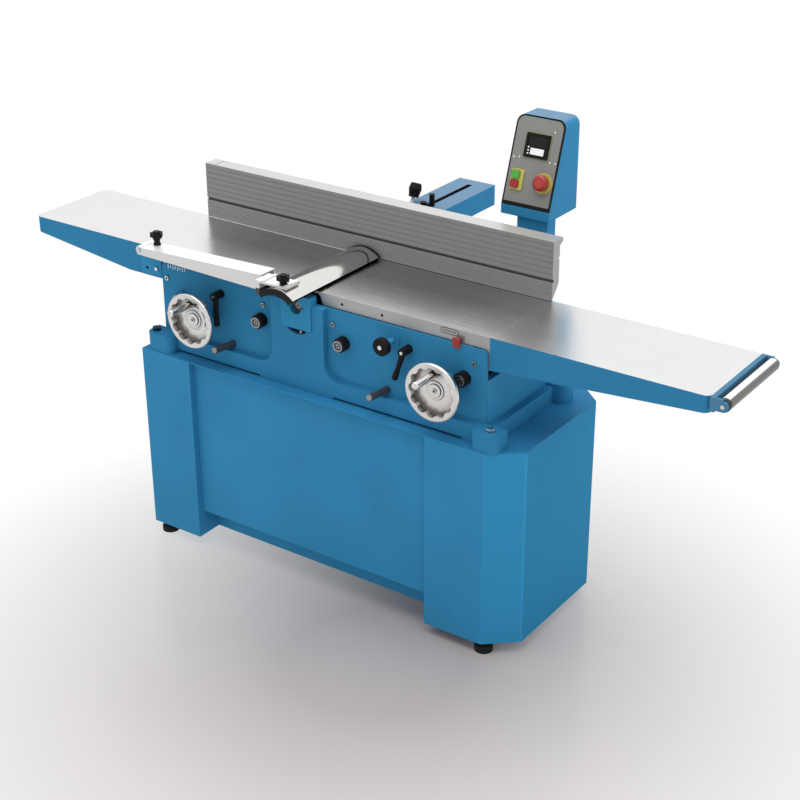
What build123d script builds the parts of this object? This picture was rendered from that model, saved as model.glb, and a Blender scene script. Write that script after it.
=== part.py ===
from build123d import *
import math
import os

# Surface planer on a sheet-metal cabinet, in millimetres, +Z up.
# The origin is on the floor under the middle of the machine.
# Lengths along X are measured from the cutter axis, along Y from the front edge of the tables and
# along Z from the table top, unless a comment says otherwise.

os.makedirs("parts", exist_ok=True)

# Place of the machine datum
CUTTER_X = -117.5
TABLE_FRONT = -301.0
TABLE_HEIGHT = 915.0

# Fits
RUN_FIT = 0.05          # radial clearance of a turning shaft
SLIDE_GAP = 0.1         # gap between flats that slide on each other
FREE_GAP = 0.5          # gap between pieces that only pass each other

# Tables
TABLE_WIDTH = 300.0
TABLE_THICK = 36.0
THROAT = 52.0           # from the cutter axis to each main plate
LIP_REACH = 22.0
LIP_THICK = 6.0
OUTFEED_MAIN = 460.0
OUTFEED_EXTENSION = 515.0
INFEED_MAIN = 553.0
INFEED_EXTENSION = 607.0
FLANGE_THICK = 22.0
FLANGE_DROP = 92.0
SKIRT_WALL = 10.0
EXTENSION_TOP = 14.0
OUTFEED_KINK = 134.0    # length of the full-depth part of the outfeed extension
OUTFEED_TIP_DROP = 48.0
INFEED_TIP_DROP = 45.0
TIP_ROUND = 18.0
EDGE_HOLE_X = 136.0
EDGE_HOLE_SPACING = 132.0
EDGE_HOLE_DROP = 19.6
EDGE_HOLE_RADIUS = 4.25
EDGE_HOLE_DEPTH = 30.0

# Base
BASE_HEIGHT = 297.0     # from the cabinet top to the table top
BASE_SETBACK = 2.0      # the base ends this much inside the main tables
WALL_GAP = 2.0
WALL_THICK = 26.0
WALL_DROP = 37.0
WALL_CORNER = 15.0
POCKET_DEPTH = 20.0
POCKET_INNER = 91.0     # from the cutter axis to each recessed cheek
POCKET_FLOOR = 53.0     # height of the cheeks' lower edge over the cabinet
POCKET_ROUND = 50.0
END_WALL_THICK = 20.0
END_WALL_DROP = 122.0
BASE_FLOOR = 12.0
WAY_WIDTH = 72.0
WAY_ANGLE = 12.0
WAY_DROP = 125.0        # way surface below the table top, at each handwheel axis
OUTFEED_WAY_TOP = -97.0   # upper ends of the ways
INFEED_WAY_TOP = 153.0
SLIDE_INSET = 4.0
FOOT_BOSS_HEIGHT = 54.0
LEFT_BOSS_LENGTH = 95.0
RIGHT_BOSS_LENGTH = 82.0
FOOT_BOSS_DEPTH = 60.0
FOOT_BOSS_ROUND = 25.0
LEFT_BOSS_REACH = 32.0  # outside the base
RIGHT_BOSS_REACH = 62.0
LEFT_BOLT_INSET = 20.0
RIGHT_BOLT_INSET = 31.0
BOLT_INSET = 27.0

# Cutter
CUTTING_RADIUS = 48.0
BLOCK_RADIUS = 46.0
BLOCK_GAP = 4.0
KNIFE_THICK = 3.0
KNIFE_HEIGHT = 20.0
KNIFE_COUNT = 4
JOURNAL_RADIUS = 12.5
HOUSING_HALF = 51.5
HOUSING_THICK = 30.0
HOUSING_TOP = 13.0
HOUSING_BOTTOM = 111.0
HOUSING_OPENING = 21.0
BEARING_RADIUS = 26.0
BEARING_WIDTH = 15.0

# Table lift
OUTFEED_WHEEL_X = -334.0
INFEED_WHEEL_X = 490.0
WHEEL_DROP = 149.0
WHEEL_RADIUS = 82.0
WHEEL_RIM_DEPTH = 30.0
WHEEL_WEB = 8.0
WHEEL_STANDOFF = 60.0   # from the cheek to the back of the rim
SHAFT_RADIUS = 10.0
PINION_MODULE = 1.0
PINION_TEETH = 18
PRESSURE_ANGLE = 20.0
TOOTH_BACKLASH = 0.15
RACK_Y = 130.0
RACK_WIDTH = 30.0
OUTFEED_LIFT = (-2.0, 16.0)
INFEED_LIFT = (0.0, 38.5)
GRIP_RADIUS = 11.0
GRIP_LENGTH = 100.0
GRIP_PIN = 5.0
GRIP_OFFSET = (3.0, 51.0)

# Cabinet
CABINET_LEFT = -556.0
CABINET_RIGHT = 721.0
CABINET_FRONT = -67.0
CABINET_BEHIND = 149.0  # behind the rear edge of the tables
FOOT_HEIGHT = 32.0
FOOT_RADIUS = 26.0
FOOT_INSET = 28.0
LEFT_FOOT_INSET = 36.0
RIGHT_FOOT_INSET = 5.0
FOOT_RIM = 14.0
FOOT_BEVEL = 5.0
FOOT_NUT = 14.0
FOOT_STUD_LENGTH = 25.0
SHEET = 3.0
LEFT_COLUMN = 182.0
RIGHT_COLUMN = 271.0
CORNER_CUT_X = 86.0
CORNER_CUT_Y = 75.0
PANEL_RECESS = 20.0
TOE_HEIGHT = 85.0
TOE_DEPTH = 88.0
SHELF_HEIGHT = 250.0    # above the floor
SHELF_MARGIN = 40.0
SHELF_FLANGE = 30.0

# Drive
MOTOR_X = 230.0
MOTOR_RADIUS = 85.0
MOTOR_LENGTH = 190.0
MOTOR_LIFT = 15.0       # from the shelf to the motor
MOTOR_WALL = 12.0
ROTOR_RADIUS = 60.0
MOTOR_SHAFT = 14.0
CUTTER_PULLEY = 35.0
MOTOR_PULLEY = 61.0
BELT_WIDTH = 20.0
BELT_THICK = 5.0
BELT_GAP = 0.3
BELT_Y = 45.0           # from the rear edge of the tables to the belt
BELT_COVER_WALL = 2.0

# Chip outlet
SPIGOT_RADIUS = 60.0
SPIGOT_WALL = 3.0
SPIGOT_NECK = 58.0      # where it goes through the rear panel
SPIGOT_FLANGE = 74.0
SPIGOT_FLANGE_THICK = 4.0
SPIGOT_LENGTH = 70.0
SPIGOT_X = -60.0
SPIGOT_DROP = 430.0

# Places worked out from the sizes
out_end = -THROAT - OUTFEED_MAIN
out_tip = out_end - OUTFEED_EXTENSION
in_end = THROAT + INFEED_MAIN
in_tip = in_end + INFEED_EXTENSION
base_left = out_end + BASE_SETBACK
base_right = in_end - BASE_SETBACK
base_bottom = -BASE_HEIGHT
wall_back = -WALL_GAP
wall_face = wall_back - WALL_THICK
pocket_face = wall_face + POCKET_DEPTH
rear_wall_front = TABLE_WIDTH + WALL_GAP
rear_wall_back = rear_wall_front + WALL_THICK
axis_z = -CUTTING_RADIUS
wheel_z = -WHEEL_DROP
floor_z = -TABLE_HEIGHT
cabinet_bottom = floor_z + FOOT_HEIGHT
plate_under = base_bottom - SHEET
column_left_inner = CABINET_LEFT + LEFT_COLUMN
column_right_inner = CABINET_RIGHT - RIGHT_COLUMN
panel_front = CABINET_FRONT + PANEL_RECESS
cabinet_rear = TABLE_WIDTH + CABINET_BEHIND
toe_front = CABINET_FRONT + TOE_DEPTH
shelf_top = floor_z + SHELF_HEIGHT
motor_z = shelf_top + MOTOR_RADIUS + MOTOR_LIFT
belt_front = TABLE_WIDTH + BELT_Y
belt_back = belt_front + BELT_WIDTH
slope = math.radians(WAY_ANGLE)


def point(x, y, z):
    """Place in the machine datum, as model coordinates."""
    return (CUTTER_X + x, TABLE_FRONT + y, TABLE_HEIGHT + z)


def front_plane(y):
    """Upright plane at depth y that faces forward: its axes are X and Z."""
    return Plane(origin=point(0, y, 0), x_dir=(1, 0, 0), z_dir=(0, -1, 0))


def side_plane(x):
    """Upright plane across the machine that faces right: its axes are Y and Z."""
    return Plane(origin=point(x, 0, 0), x_dir=(0, 1, 0), z_dir=(1, 0, 0))


def level_plane(z):
    """Level plane at height z that faces up: its axes are X and Y."""
    return Plane(origin=point(0, 0, z), x_dir=(1, 0, 0), z_dir=(0, 0, 1))


def block(x, y, z, mode=Mode.ADD):
    """Box between two x, two y and two z values."""
    middle = point(sum(x) / 2, sum(y) / 2, sum(z) / 2)
    with Locations(middle):
        Box(x[1] - x[0], y[1] - y[0], z[1] - z[0], mode=mode)


def slab(plane, corners, depth, mode=Mode.ADD, rounds=()):
    """Flat piece with straight sides. Rounds pair a corner's number with its radius."""
    with BuildSketch(plane) as outline:
        with BuildLine():
            Polyline(*corners, close=True)
        make_face()
        for corner, radius in rounds:
            nearest = outline.vertices().sort_by_distance(Vector(*corners[corner]))[0]
            fillet(nearest, radius)
    extrude(outline.sketch, amount=depth, mode=mode)


def rod(plane, spots, radius, length, mode=Mode.ADD):
    """Round bars of one length that stand on a plane."""
    with BuildSketch(plane) as circles:
        with Locations(*spots):
            Circle(radius)
    extrude(circles.sketch, amount=length, mode=mode)


def turned(spot, direction, profile, mode=Mode.ADD):
    """Round piece from a profile of radius and height pairs about an axis."""
    along = Vector(*direction).normalized()
    across = Vector(1, 0, 0) if abs(along.X) < 1e-6 else Vector(0, 1, 0)
    plane = Plane(origin=spot, x_dir=across, z_dir=across.cross(along))
    with BuildSketch(plane) as half:
        with BuildLine():
            Polyline(*profile, close=True)
        make_face()
    revolve(half.sketch.faces(), axis=Axis(spot, along), mode=mode)


def save(piece, label):
    piece.part.label = label
    export_step(piece.part, f"parts/{label}.step")


# Cabinet
def column(outline, inner):
    """Upright sheet box with a floor and an open top."""
    tall = plate_under - cabinet_bottom
    slab(level_plane(cabinet_bottom), outline, tall)
    slab(level_plane(cabinet_bottom + SHEET), inner, tall, mode=Mode.SUBTRACT)


def cut_corner_outline(inset):
    """Right column seen from above, with its two outer corners cut."""
    lean = math.hypot(CORNER_CUT_X, CORNER_CUT_Y)
    cut_x = CORNER_CUT_X + inset * (lean - CORNER_CUT_X - CORNER_CUT_Y) / CORNER_CUT_Y
    cut_y = cut_x * CORNER_CUT_Y / CORNER_CUT_X
    left = column_right_inner + inset
    right = CABINET_RIGHT - inset
    front = CABINET_FRONT + inset
    rear = cabinet_rear - inset
    return [
        (left, front),
        (right - cut_x, front),
        (right, front + cut_y),
        (right, rear - cut_y),
        (right - cut_x, rear),
        (left, rear),
    ]


foot_spots = [
    (CABINET_LEFT + LEFT_FOOT_INSET, CABINET_FRONT + FOOT_INSET),
    (CABINET_LEFT + LEFT_FOOT_INSET, cabinet_rear - FOOT_INSET),
    (CABINET_RIGHT - CORNER_CUT_X - RIGHT_FOOT_INSET, CABINET_FRONT + FOOT_INSET),
    (CABINET_RIGHT - CORNER_CUT_X - RIGHT_FOOT_INSET, cabinet_rear - FOOT_INSET),
]
FOOT_STUD = 8.0

with BuildPart() as cabinet_left_column:
    left_outline = [
        (CABINET_LEFT, CABINET_FRONT),
        (column_left_inner, CABINET_FRONT),
        (column_left_inner, cabinet_rear),
        (CABINET_LEFT, cabinet_rear),
    ]
    left_inner = [
        (CABINET_LEFT + SHEET, CABINET_FRONT + SHEET),
        (column_left_inner - SHEET, CABINET_FRONT + SHEET),
        (column_left_inner - SHEET, cabinet_rear - SHEET),
        (CABINET_LEFT + SHEET, cabinet_rear - SHEET),
    ]
    column(left_outline, left_inner)
    rod(level_plane(cabinet_bottom), foot_spots[:2], FOOT_STUD + FREE_GAP, SHEET, mode=Mode.SUBTRACT)
save(cabinet_left_column, "cabinet_left_column")

with BuildPart() as cabinet_right_column:
    column(cut_corner_outline(0), cut_corner_outline(SHEET))
    rod(level_plane(cabinet_bottom), foot_spots[2:], FOOT_STUD + FREE_GAP, SHEET, mode=Mode.SUBTRACT)
save(cabinet_right_column, "cabinet_right_column")

with BuildPart() as cabinet_front_panel:
    soffit = cabinet_bottom + TOE_HEIGHT
    panel_section = [
        (panel_front, soffit),
        (toe_front, soffit),
        (toe_front, cabinet_bottom),
        (toe_front + SHEET, cabinet_bottom),
        (toe_front + SHEET, soffit + SHEET),
        (panel_front + SHEET, soffit + SHEET),
        (panel_front + SHEET, plate_under),
        (panel_front, plate_under),
    ]
    slab(side_plane(column_left_inner), panel_section, column_right_inner - column_left_inner)
save(cabinet_front_panel, "cabinet_front_panel")

VENT_COUNT = 8
VENT_LENGTH = 160.0
VENT_HEIGHT = 8.0
VENT_PITCH = 22.0
VENT_X = 260.0
VENT_DROP = 480.0
with BuildPart() as cabinet_rear_panel:
    block(
        (column_left_inner, column_right_inner),
        (cabinet_rear - SHEET, cabinet_rear),
        (cabinet_bottom, plate_under),
    )
    with BuildSketch(front_plane(cabinet_rear)) as vents:
        with Locations((VENT_X, -VENT_DROP)):
            with GridLocations(0, VENT_PITCH, 1, VENT_COUNT):
                SlotOverall(VENT_LENGTH, VENT_HEIGHT)
    extrude(vents.sketch, amount=SHEET, mode=Mode.SUBTRACT)
    spigot_hole = SPIGOT_NECK + FREE_GAP
    rod(front_plane(cabinet_rear), [(SPIGOT_X, -SPIGOT_DROP)], spigot_hole, SHEET, mode=Mode.SUBTRACT)
save(cabinet_rear_panel, "cabinet_rear_panel")

with BuildPart() as motor_shelf:
    block(
        (column_left_inner, column_right_inner),
        (toe_front + SHEET + FREE_GAP, cabinet_rear - SHEET - FREE_GAP),
        (shelf_top - SHEET, shelf_top),
    )
    for side, inward in ((column_left_inner, 1), (column_right_inner, -1)):
        flange = sorted((side, side + inward * SHEET))
        flange_y = (toe_front + SHELF_MARGIN, cabinet_rear - SHELF_MARGIN)
        block(flange, flange_y, (shelf_top - SHELF_FLANGE, shelf_top - SHEET))
save(motor_shelf, "motor_shelf")

with BuildPart() as levelling_feet:
    foot_profile = [
        (0, 0),
        (FOOT_RADIUS, 0),
        (FOOT_RADIUS, FOOT_RIM),
        (FOOT_RADIUS - FOOT_BEVEL, FOOT_RIM + FOOT_BEVEL),
        (FOOT_NUT, FOOT_RIM + FOOT_BEVEL),
        (FOOT_NUT, FOOT_HEIGHT),
        (FOOT_STUD, FOOT_HEIGHT),
        (FOOT_STUD, FOOT_HEIGHT + FOOT_STUD_LENGTH),
        (0, FOOT_HEIGHT + FOOT_STUD_LENGTH),
    ]
    for foot_x, foot_y in foot_spots:
        turned(point(foot_x, foot_y, floor_z), (0, 0, 1), foot_profile)
save(levelling_feet, "levelling_feet")

# Base
CHIP_LEFT = -85.0       # ends of the chip opening
CHIP_RIGHT = 60.0
CHIP_INSET = 14.0
CHUTE_LEFT = SPIGOT_X - SPIGOT_RADIUS - 6.0
CHUTE_RIGHT = CHIP_RIGHT + SHEET
boss_left = (base_left - LEFT_BOSS_REACH, base_left - LEFT_BOSS_REACH + LEFT_BOSS_LENGTH)
boss_right = (base_right + RIGHT_BOSS_REACH - RIGHT_BOSS_LENGTH, base_right + RIGHT_BOSS_REACH)
boss_top = base_bottom + FOOT_BOSS_HEIGHT
boss_front = wall_back - FOOT_BOSS_DEPTH
boss_rear = rear_wall_front + FOOT_BOSS_DEPTH
BOLT_RADIUS = 8.0
BOLT_HEAD = 13.0
BOLT_HEAD_HEIGHT = 10.0
boss_bolt_x = (boss_left[0] + LEFT_BOLT_INSET, boss_right[1] - RIGHT_BOLT_INSET)
boss_bolts = [(x, y) for x in boss_bolt_x for y in (boss_front + BOLT_INSET, boss_rear - BOLT_INSET)]


def pulley_line(offset):
    """Points where a straight belt run, moved outward by offset, touches each pulley on both sides."""
    across = MOTOR_X
    down = motor_z - axis_z
    span = math.hypot(across, down)
    run = math.atan2(down, across)
    lean = math.asin((MOTOR_PULLEY - CUTTER_PULLEY) / span)
    sides = []
    for side in (1, -1):
        normal = run + side * (math.pi / 2 + lean)
        reach = CUTTER_PULLEY + offset
        top = reach * math.cos(normal), axis_z + reach * math.sin(normal)
        low_x = MOTOR_X + (MOTOR_PULLEY + offset) * math.cos(normal)
        low_z = motor_z + (MOTOR_PULLEY + offset) * math.sin(normal)
        sides.append((top, (low_x, low_z)))
    return sides


def belt_outline(offset, depth, mode=Mode.ADD):
    """Closed belt shape round both pulleys, moved outward by offset."""
    (top_a, low_a), (top_b, low_b) = pulley_line(offset)
    with BuildSketch(front_plane(belt_back + (depth - BELT_WIDTH) / 2)) as loop:
        with Locations((0, axis_z)):
            Circle(CUTTER_PULLEY + offset)
        with Locations((MOTOR_X, motor_z)):
            Circle(MOTOR_PULLEY + offset)
        with BuildLine():
            Polyline(top_a, low_a, low_b, top_b, close=True)
        make_face()
    extrude(loop.sketch, amount=depth, mode=mode)


BELT_PASSAGE = 12.0     # room round the belt where it goes through the cabinet top
with BuildPart() as cabinet_top_plate:
    corner = cut_corner_outline(0)
    plate_outline = [(CABINET_LEFT, CABINET_FRONT)] + corner[1:5] + [(CABINET_LEFT, cabinet_rear)]
    slab(level_plane(plate_under), plate_outline, SHEET)
    block(
        (CHIP_LEFT, CHIP_RIGHT),
        (CHIP_INSET, TABLE_WIDTH - CHIP_INSET),
        (plate_under, base_bottom),
        mode=Mode.SUBTRACT,
    )
    belt_outline(BELT_PASSAGE, BELT_WIDTH + 2 * BELT_PASSAGE, mode=Mode.SUBTRACT)
    rod(level_plane(plate_under), boss_bolts, BOLT_RADIUS + FREE_GAP, SHEET, mode=Mode.SUBTRACT)
save(cabinet_top_plate, "cabinet_top_plate")

SHAFT_COLLAR = 24.0
COLLAR_LENGTH = 28.0
PIN_Z = -127.0
pin_spots = [(-432.0, PIN_Z), (-140.0, PIN_Z), (146.0, PIN_Z), (535.0, PIN_Z)]
PIN_STEM = 8.0
SCREW_Z = -80.0
screw_spots = [(-490.0, SCREW_Z), (-132.0, SCREW_Z), (112.0, SCREW_Z), (566.0, SCREW_Z)]
SCREW_STEM = 4.0
OUTFEED_LEVER = (-286.0, -82.0)
INFEED_LEVER = (361.0, -89.0)
LEVER_STUD = 6.0
LOCK_KNOB = (309.0, -78.0)
LOCK_RING = 22.0
LOCK_RING_HEIGHT = 3.0
bar_spots = [(-250.0, -228.0), (289.0, -228.0)]
BAR_RADIUS = 10.0
BAR_SEAT = 30.0
BAR_REACH = 83.0        # in front of the cheek
BAR_LIFT = 6.0          # degrees by which the bars rise towards the front
BAR_CHAMFER = 1.5
shaft_spots = [(OUTFEED_WHEEL_X, wheel_z), (INFEED_WHEEL_X, wheel_z)]
RELIEF_HEIGHT = 8.0
RELIEF_INSET = 61.0
relief_slots = [(base_left + RELIEF_INSET, -140.0), (120.0, base_right - RELIEF_INSET)]
notch_half = HOUSING_HALF + FREE_GAP


def wall_outline():
    """Base wall seen from the front, with the notch for a bearing housing."""
    return [
        (base_left, base_bottom),
        (base_right, base_bottom),
        (base_right, -WALL_DROP),
        (notch_half, -WALL_DROP),
        (notch_half, -HOUSING_BOTTOM),
        (-notch_half, -HOUSING_BOTTOM),
        (-notch_half, -WALL_DROP),
        (base_left, -WALL_DROP),
    ]


def foot_bosses(near, far, round_corners):
    """Corner bosses of a base wall, with their bolt holes."""
    for ends in (boss_left, boss_right):
        corners = [(ends[0], near), (ends[1], near), (ends[1], far), (ends[0], far)]
        rounds = [(number, FOOT_BOSS_ROUND) for number in round_corners]
        slab(level_plane(base_bottom), corners, FOOT_BOSS_HEIGHT, rounds=rounds)


def bolt_holes():
    rod(level_plane(base_bottom), boss_bolts, BOLT_RADIUS + FREE_GAP, FOOT_BOSS_HEIGHT, mode=Mode.SUBTRACT)


def lifting_bar(radius, mode=Mode.ADD):
    """Bars that rise a little towards the front, from their seats behind the wall."""
    rise = math.radians(BAR_LIFT)
    depth = BAR_SEAT + wall_back - pocket_face
    length = (depth + BAR_REACH) / math.cos(rise)
    profile = [
        (0, 0),
        (radius - BAR_CHAMFER, 0),
        (radius, BAR_CHAMFER),
        (radius, length - BAR_CHAMFER),
        (radius - BAR_CHAMFER, length),
        (0, length),
    ]
    for x, z in bar_spots:
        start = point(x, wall_back + BAR_SEAT, z - depth * math.tan(rise))
        turned(start, (0, -math.cos(rise), math.sin(rise)), profile, mode=mode)


LENS_HALF = 32.0
LENS_HEIGHT = 14.0
LENS_DEPTH = 10.0
LENS_Z = -115.0
LENS_SCREW_SPOT = (12.0, -121.0)
with BuildPart() as base_front_wall:
    corner_rounds = [(2, WALL_CORNER), (7, WALL_CORNER)]
    slab(front_plane(wall_back), wall_outline(), WALL_THICK, rounds=corner_rounds)
    pocket_floor = base_bottom + POCKET_FLOOR
    for outer, inner in ((base_left, -POCKET_INNER), (base_right, POCKET_INNER)):
        pocket = [(outer, pocket_floor), (inner, pocket_floor), (inner, 0), (outer, 0)]
        slab(front_plane(pocket_face), pocket, POCKET_DEPTH, mode=Mode.SUBTRACT, rounds=[(1, POCKET_ROUND)])
    rod(front_plane(pocket_face), shaft_spots, SHAFT_COLLAR, COLLAR_LENGTH)
    rod(front_plane(pocket_face), [LOCK_KNOB], LOCK_RING, LOCK_RING_HEIGHT)
    foot_bosses(boss_front, wall_back, (0, 1))
    bolt_holes()
    for start, end in relief_slots:
        heights = (base_bottom, base_bottom + RELIEF_HEIGHT)
        block((start, end), (boss_front, wall_back), heights, mode=Mode.SUBTRACT)
    with BuildSketch(front_plane(wall_face + LENS_DEPTH)) as lens:
        with Locations((0, LENS_Z)):
            Ellipse(LENS_HALF, LENS_HEIGHT)
        with Locations((0, LENS_Z + LENS_HEIGHT)):
            Rectangle(2 * LENS_HALF, 2 * LENS_HEIGHT, mode=Mode.SUBTRACT)
    extrude(lens.sketch, amount=LENS_DEPTH, mode=Mode.SUBTRACT)
    rod(front_plane(wall_back), shaft_spots, SHAFT_RADIUS + RUN_FIT, 2 * WALL_THICK, mode=Mode.SUBTRACT)
    rod(front_plane(wall_back), [LOCK_KNOB, OUTFEED_LEVER, INFEED_LEVER], LEVER_STUD + RUN_FIT, WALL_THICK,
        mode=Mode.SUBTRACT)
    rod(front_plane(wall_back), pin_spots, PIN_STEM + FREE_GAP, WALL_THICK, mode=Mode.SUBTRACT)
    rod(front_plane(wall_back), screw_spots, SCREW_STEM + FREE_GAP, WALL_THICK, mode=Mode.SUBTRACT)
    lifting_bar(BAR_RADIUS + FREE_GAP, mode=Mode.SUBTRACT)
save(base_front_wall, "base_front_wall")

with BuildPart() as base_rear_wall:
    slab(front_plane(rear_wall_back), wall_outline(), WALL_THICK, rounds=corner_rounds)
    foot_bosses(rear_wall_front, boss_rear, (0, 1, 2, 3))
    bolt_holes()
save(base_rear_wall, "base_rear_wall")

left_inner_face = base_left + END_WALL_THICK
right_inner_face = base_right - END_WALL_THICK
END_FLANGE = 22.0
END_FLANGE_HEIGHT = 47.0


def way_height(x, wheel_x, rise):
    """Height of a way's surface; rise is 1 where it climbs to the right."""
    return -WAY_DROP + rise * (x - wheel_x) * math.tan(slope)


def incline(start, end, wheel_x, rise, low, lift=0.0):
    """Side view of a block under a way's surface, moved square to it by lift."""
    up = lift / math.cos(slope)
    return [
        (start, low),
        (end, low),
        (end, way_height(end, wheel_x, rise) + up),
        (start, way_height(start, wheel_x, rise) + up),
    ]


with BuildPart() as base_crossmembers:
    bed = (wall_back, rear_wall_front)
    block((base_left, base_right), bed, (base_bottom, base_bottom + BASE_FLOOR))
    block((base_left, left_inner_face), bed, (base_bottom, -END_WALL_DROP))
    block((right_inner_face, base_right), bed, (base_bottom, -END_WALL_DROP))
    block((base_right, base_right + END_FLANGE), bed, (base_bottom, base_bottom + END_FLANGE_HEIGHT))
    for way_back in (wall_back + WAY_WIDTH, rear_wall_front):
        outfeed_way = incline(left_inner_face, OUTFEED_WAY_TOP, OUTFEED_WHEEL_X, 1, base_bottom)
        infeed_way = incline(INFEED_WAY_TOP, right_inner_face, INFEED_WHEEL_X, -1, base_bottom)
        slab(front_plane(way_back), outfeed_way, WAY_WIDTH)
        slab(front_plane(way_back), infeed_way, WAY_WIDTH)
    chip_depth = (CHIP_INSET, TABLE_WIDTH - CHIP_INSET)
    block((CHIP_LEFT, CHIP_RIGHT), chip_depth, (base_bottom, 0), mode=Mode.SUBTRACT)
    shaft_hole = SHAFT_RADIUS + RUN_FIT
    rod(front_plane(rear_wall_front), shaft_spots, shaft_hole, bed[1] - bed[0], mode=Mode.SUBTRACT)
    lifting_bar(BAR_RADIUS + FREE_GAP, mode=Mode.SUBTRACT)
save(base_crossmembers, "base_crossmembers")

HEAD_HEIGHT = 5.0
SCREW_HEAD = 7.0
PIN_COLLAR = 20.0
PIN_COLLAR_LENGTH = 22.0
PIN_FACE = 16.0
PIN_FACE_LENGTH = 8.0
LENS_SCREW = 4.0
LENS_INSET = 2.0
HEX_KEY = 3.5
BOLT_TAIL = 12.0
SOCKET_DEPTH = 3.0
PIN_GROOVE = (7.0, 11.0)
PIN_BUTTON = 2.0
with BuildPart() as base_fasteners:
    bolt_length = BOLT_TAIL + SHEET + FOOT_BOSS_HEIGHT
    rod(level_plane(plate_under - BOLT_TAIL), boss_bolts, BOLT_RADIUS, bolt_length)
    with BuildSketch(level_plane(boss_top)) as bolt_heads:
        with Locations(*boss_bolts):
            RegularPolygon(BOLT_HEAD, 6)
    extrude(bolt_heads.sketch, amount=BOLT_HEAD_HEIGHT)
    rod(front_plane(wall_back), screw_spots, SCREW_STEM, wall_back - pocket_face)
    rod(front_plane(pocket_face), screw_spots, SCREW_HEAD, HEAD_HEIGHT)
    screw_socket = front_plane(pocket_face - HEAD_HEIGHT + SOCKET_DEPTH)
    rod(screw_socket, screw_spots, HEX_KEY, SOCKET_DEPTH, mode=Mode.SUBTRACT)
    rod(front_plane(wall_back), pin_spots, PIN_STEM, wall_back - pocket_face)
    rod(front_plane(pocket_face), pin_spots, PIN_COLLAR, PIN_COLLAR_LENGTH)
    rod(front_plane(pocket_face - PIN_COLLAR_LENGTH), pin_spots, PIN_FACE, PIN_FACE_LENGTH)
    face_depth = pocket_face - PIN_COLLAR_LENGTH - PIN_FACE_LENGTH
    pin_socket = front_plane(face_depth + SOCKET_DEPTH)
    rod(pin_socket, pin_spots, PIN_GROOVE[1], SOCKET_DEPTH, mode=Mode.SUBTRACT)
    rod(pin_socket, pin_spots, PIN_GROOVE[0], PIN_BUTTON)
    rod(front_plane(wall_face + LENS_DEPTH), [LENS_SCREW_SPOT], LENS_SCREW, LENS_DEPTH - LENS_INSET)
save(base_fasteners, "base_fasteners")

with BuildPart() as lifting_bars:
    lifting_bar(BAR_RADIUS)
save(lifting_bars, "lifting_bars")

# Cutter, its housings and bearings
HOUSING_ROUND = 8.0
HOUSING_HOLE_X = 25.0
HOUSING_HOLE_RADIUS = 3.0
HOUSING_HOLE_DEPTH = 10.0
JOURNAL_INSET = 13.0
housing_outline = [
    (-HOUSING_HALF, -HOUSING_BOTTOM),
    (HOUSING_HALF, -HOUSING_BOTTOM),
    (HOUSING_HALF, -HOUSING_TOP),
    (-HOUSING_HALF, -HOUSING_TOP),
]
pocket_radius = BEARING_RADIUS + RUN_FIT
cutter_spot = [(0, axis_z)]
housing_screws = [(-HOUSING_HOLE_X, axis_z), (HOUSING_HOLE_X, axis_z)]
rear_bearing_back = rear_wall_front + BEARING_WIDTH
with BuildPart() as bearing_housings:
    top_rounds = [(2, HOUSING_ROUND), (3, HOUSING_ROUND)]
    for back in (wall_back, rear_wall_front + HOUSING_THICK):
        slab(front_plane(back), housing_outline, HOUSING_THICK, rounds=top_rounds)
        rod(front_plane(back), cutter_spot, HOUSING_OPENING, HOUSING_THICK, mode=Mode.SUBTRACT)
    for back in (wall_back, rear_bearing_back):
        rod(front_plane(back), cutter_spot, pocket_radius, BEARING_WIDTH, mode=Mode.SUBTRACT)
    front_holes = front_plane(wall_back - HOUSING_THICK + HOUSING_HOLE_DEPTH)
    rod(front_holes, housing_screws, HOUSING_HOLE_RADIUS, HOUSING_HOLE_DEPTH, mode=Mode.SUBTRACT)
save(bearing_housings, "bearing_housings")

with BuildPart() as cutter_bearings:
    for back in (wall_back, rear_bearing_back):
        rod(front_plane(back), cutter_spot, BEARING_RADIUS, BEARING_WIDTH)
        rod(front_plane(back), cutter_spot, JOURNAL_RADIUS + RUN_FIT, BEARING_WIDTH, mode=Mode.SUBTRACT)
save(cutter_bearings, "cutter_bearings")

KNIFE_TILT = 20.0
JOURNAL_SHOULDER = 18.0
block_front = BLOCK_GAP
block_back = TABLE_WIDTH - BLOCK_GAP
journal_front = wall_back - HOUSING_THICK + JOURNAL_INSET
knife_root = CUTTING_RADIUS - KNIFE_HEIGHT


def knife_shape(plane, thickness, inner, outer, depth, mode):
    """Knife sections set round the cutter axis, from an inner to an outer radius."""
    with BuildSketch(plane) as knives:
        with Locations((0, axis_z)):
            with PolarLocations(0, KNIFE_COUNT, start_angle=KNIFE_TILT):
                with Locations(((inner + outer) / 2, 0)):
                    Rectangle(outer - inner, thickness)
    extrude(knives.sketch, amount=depth, mode=mode)


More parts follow.
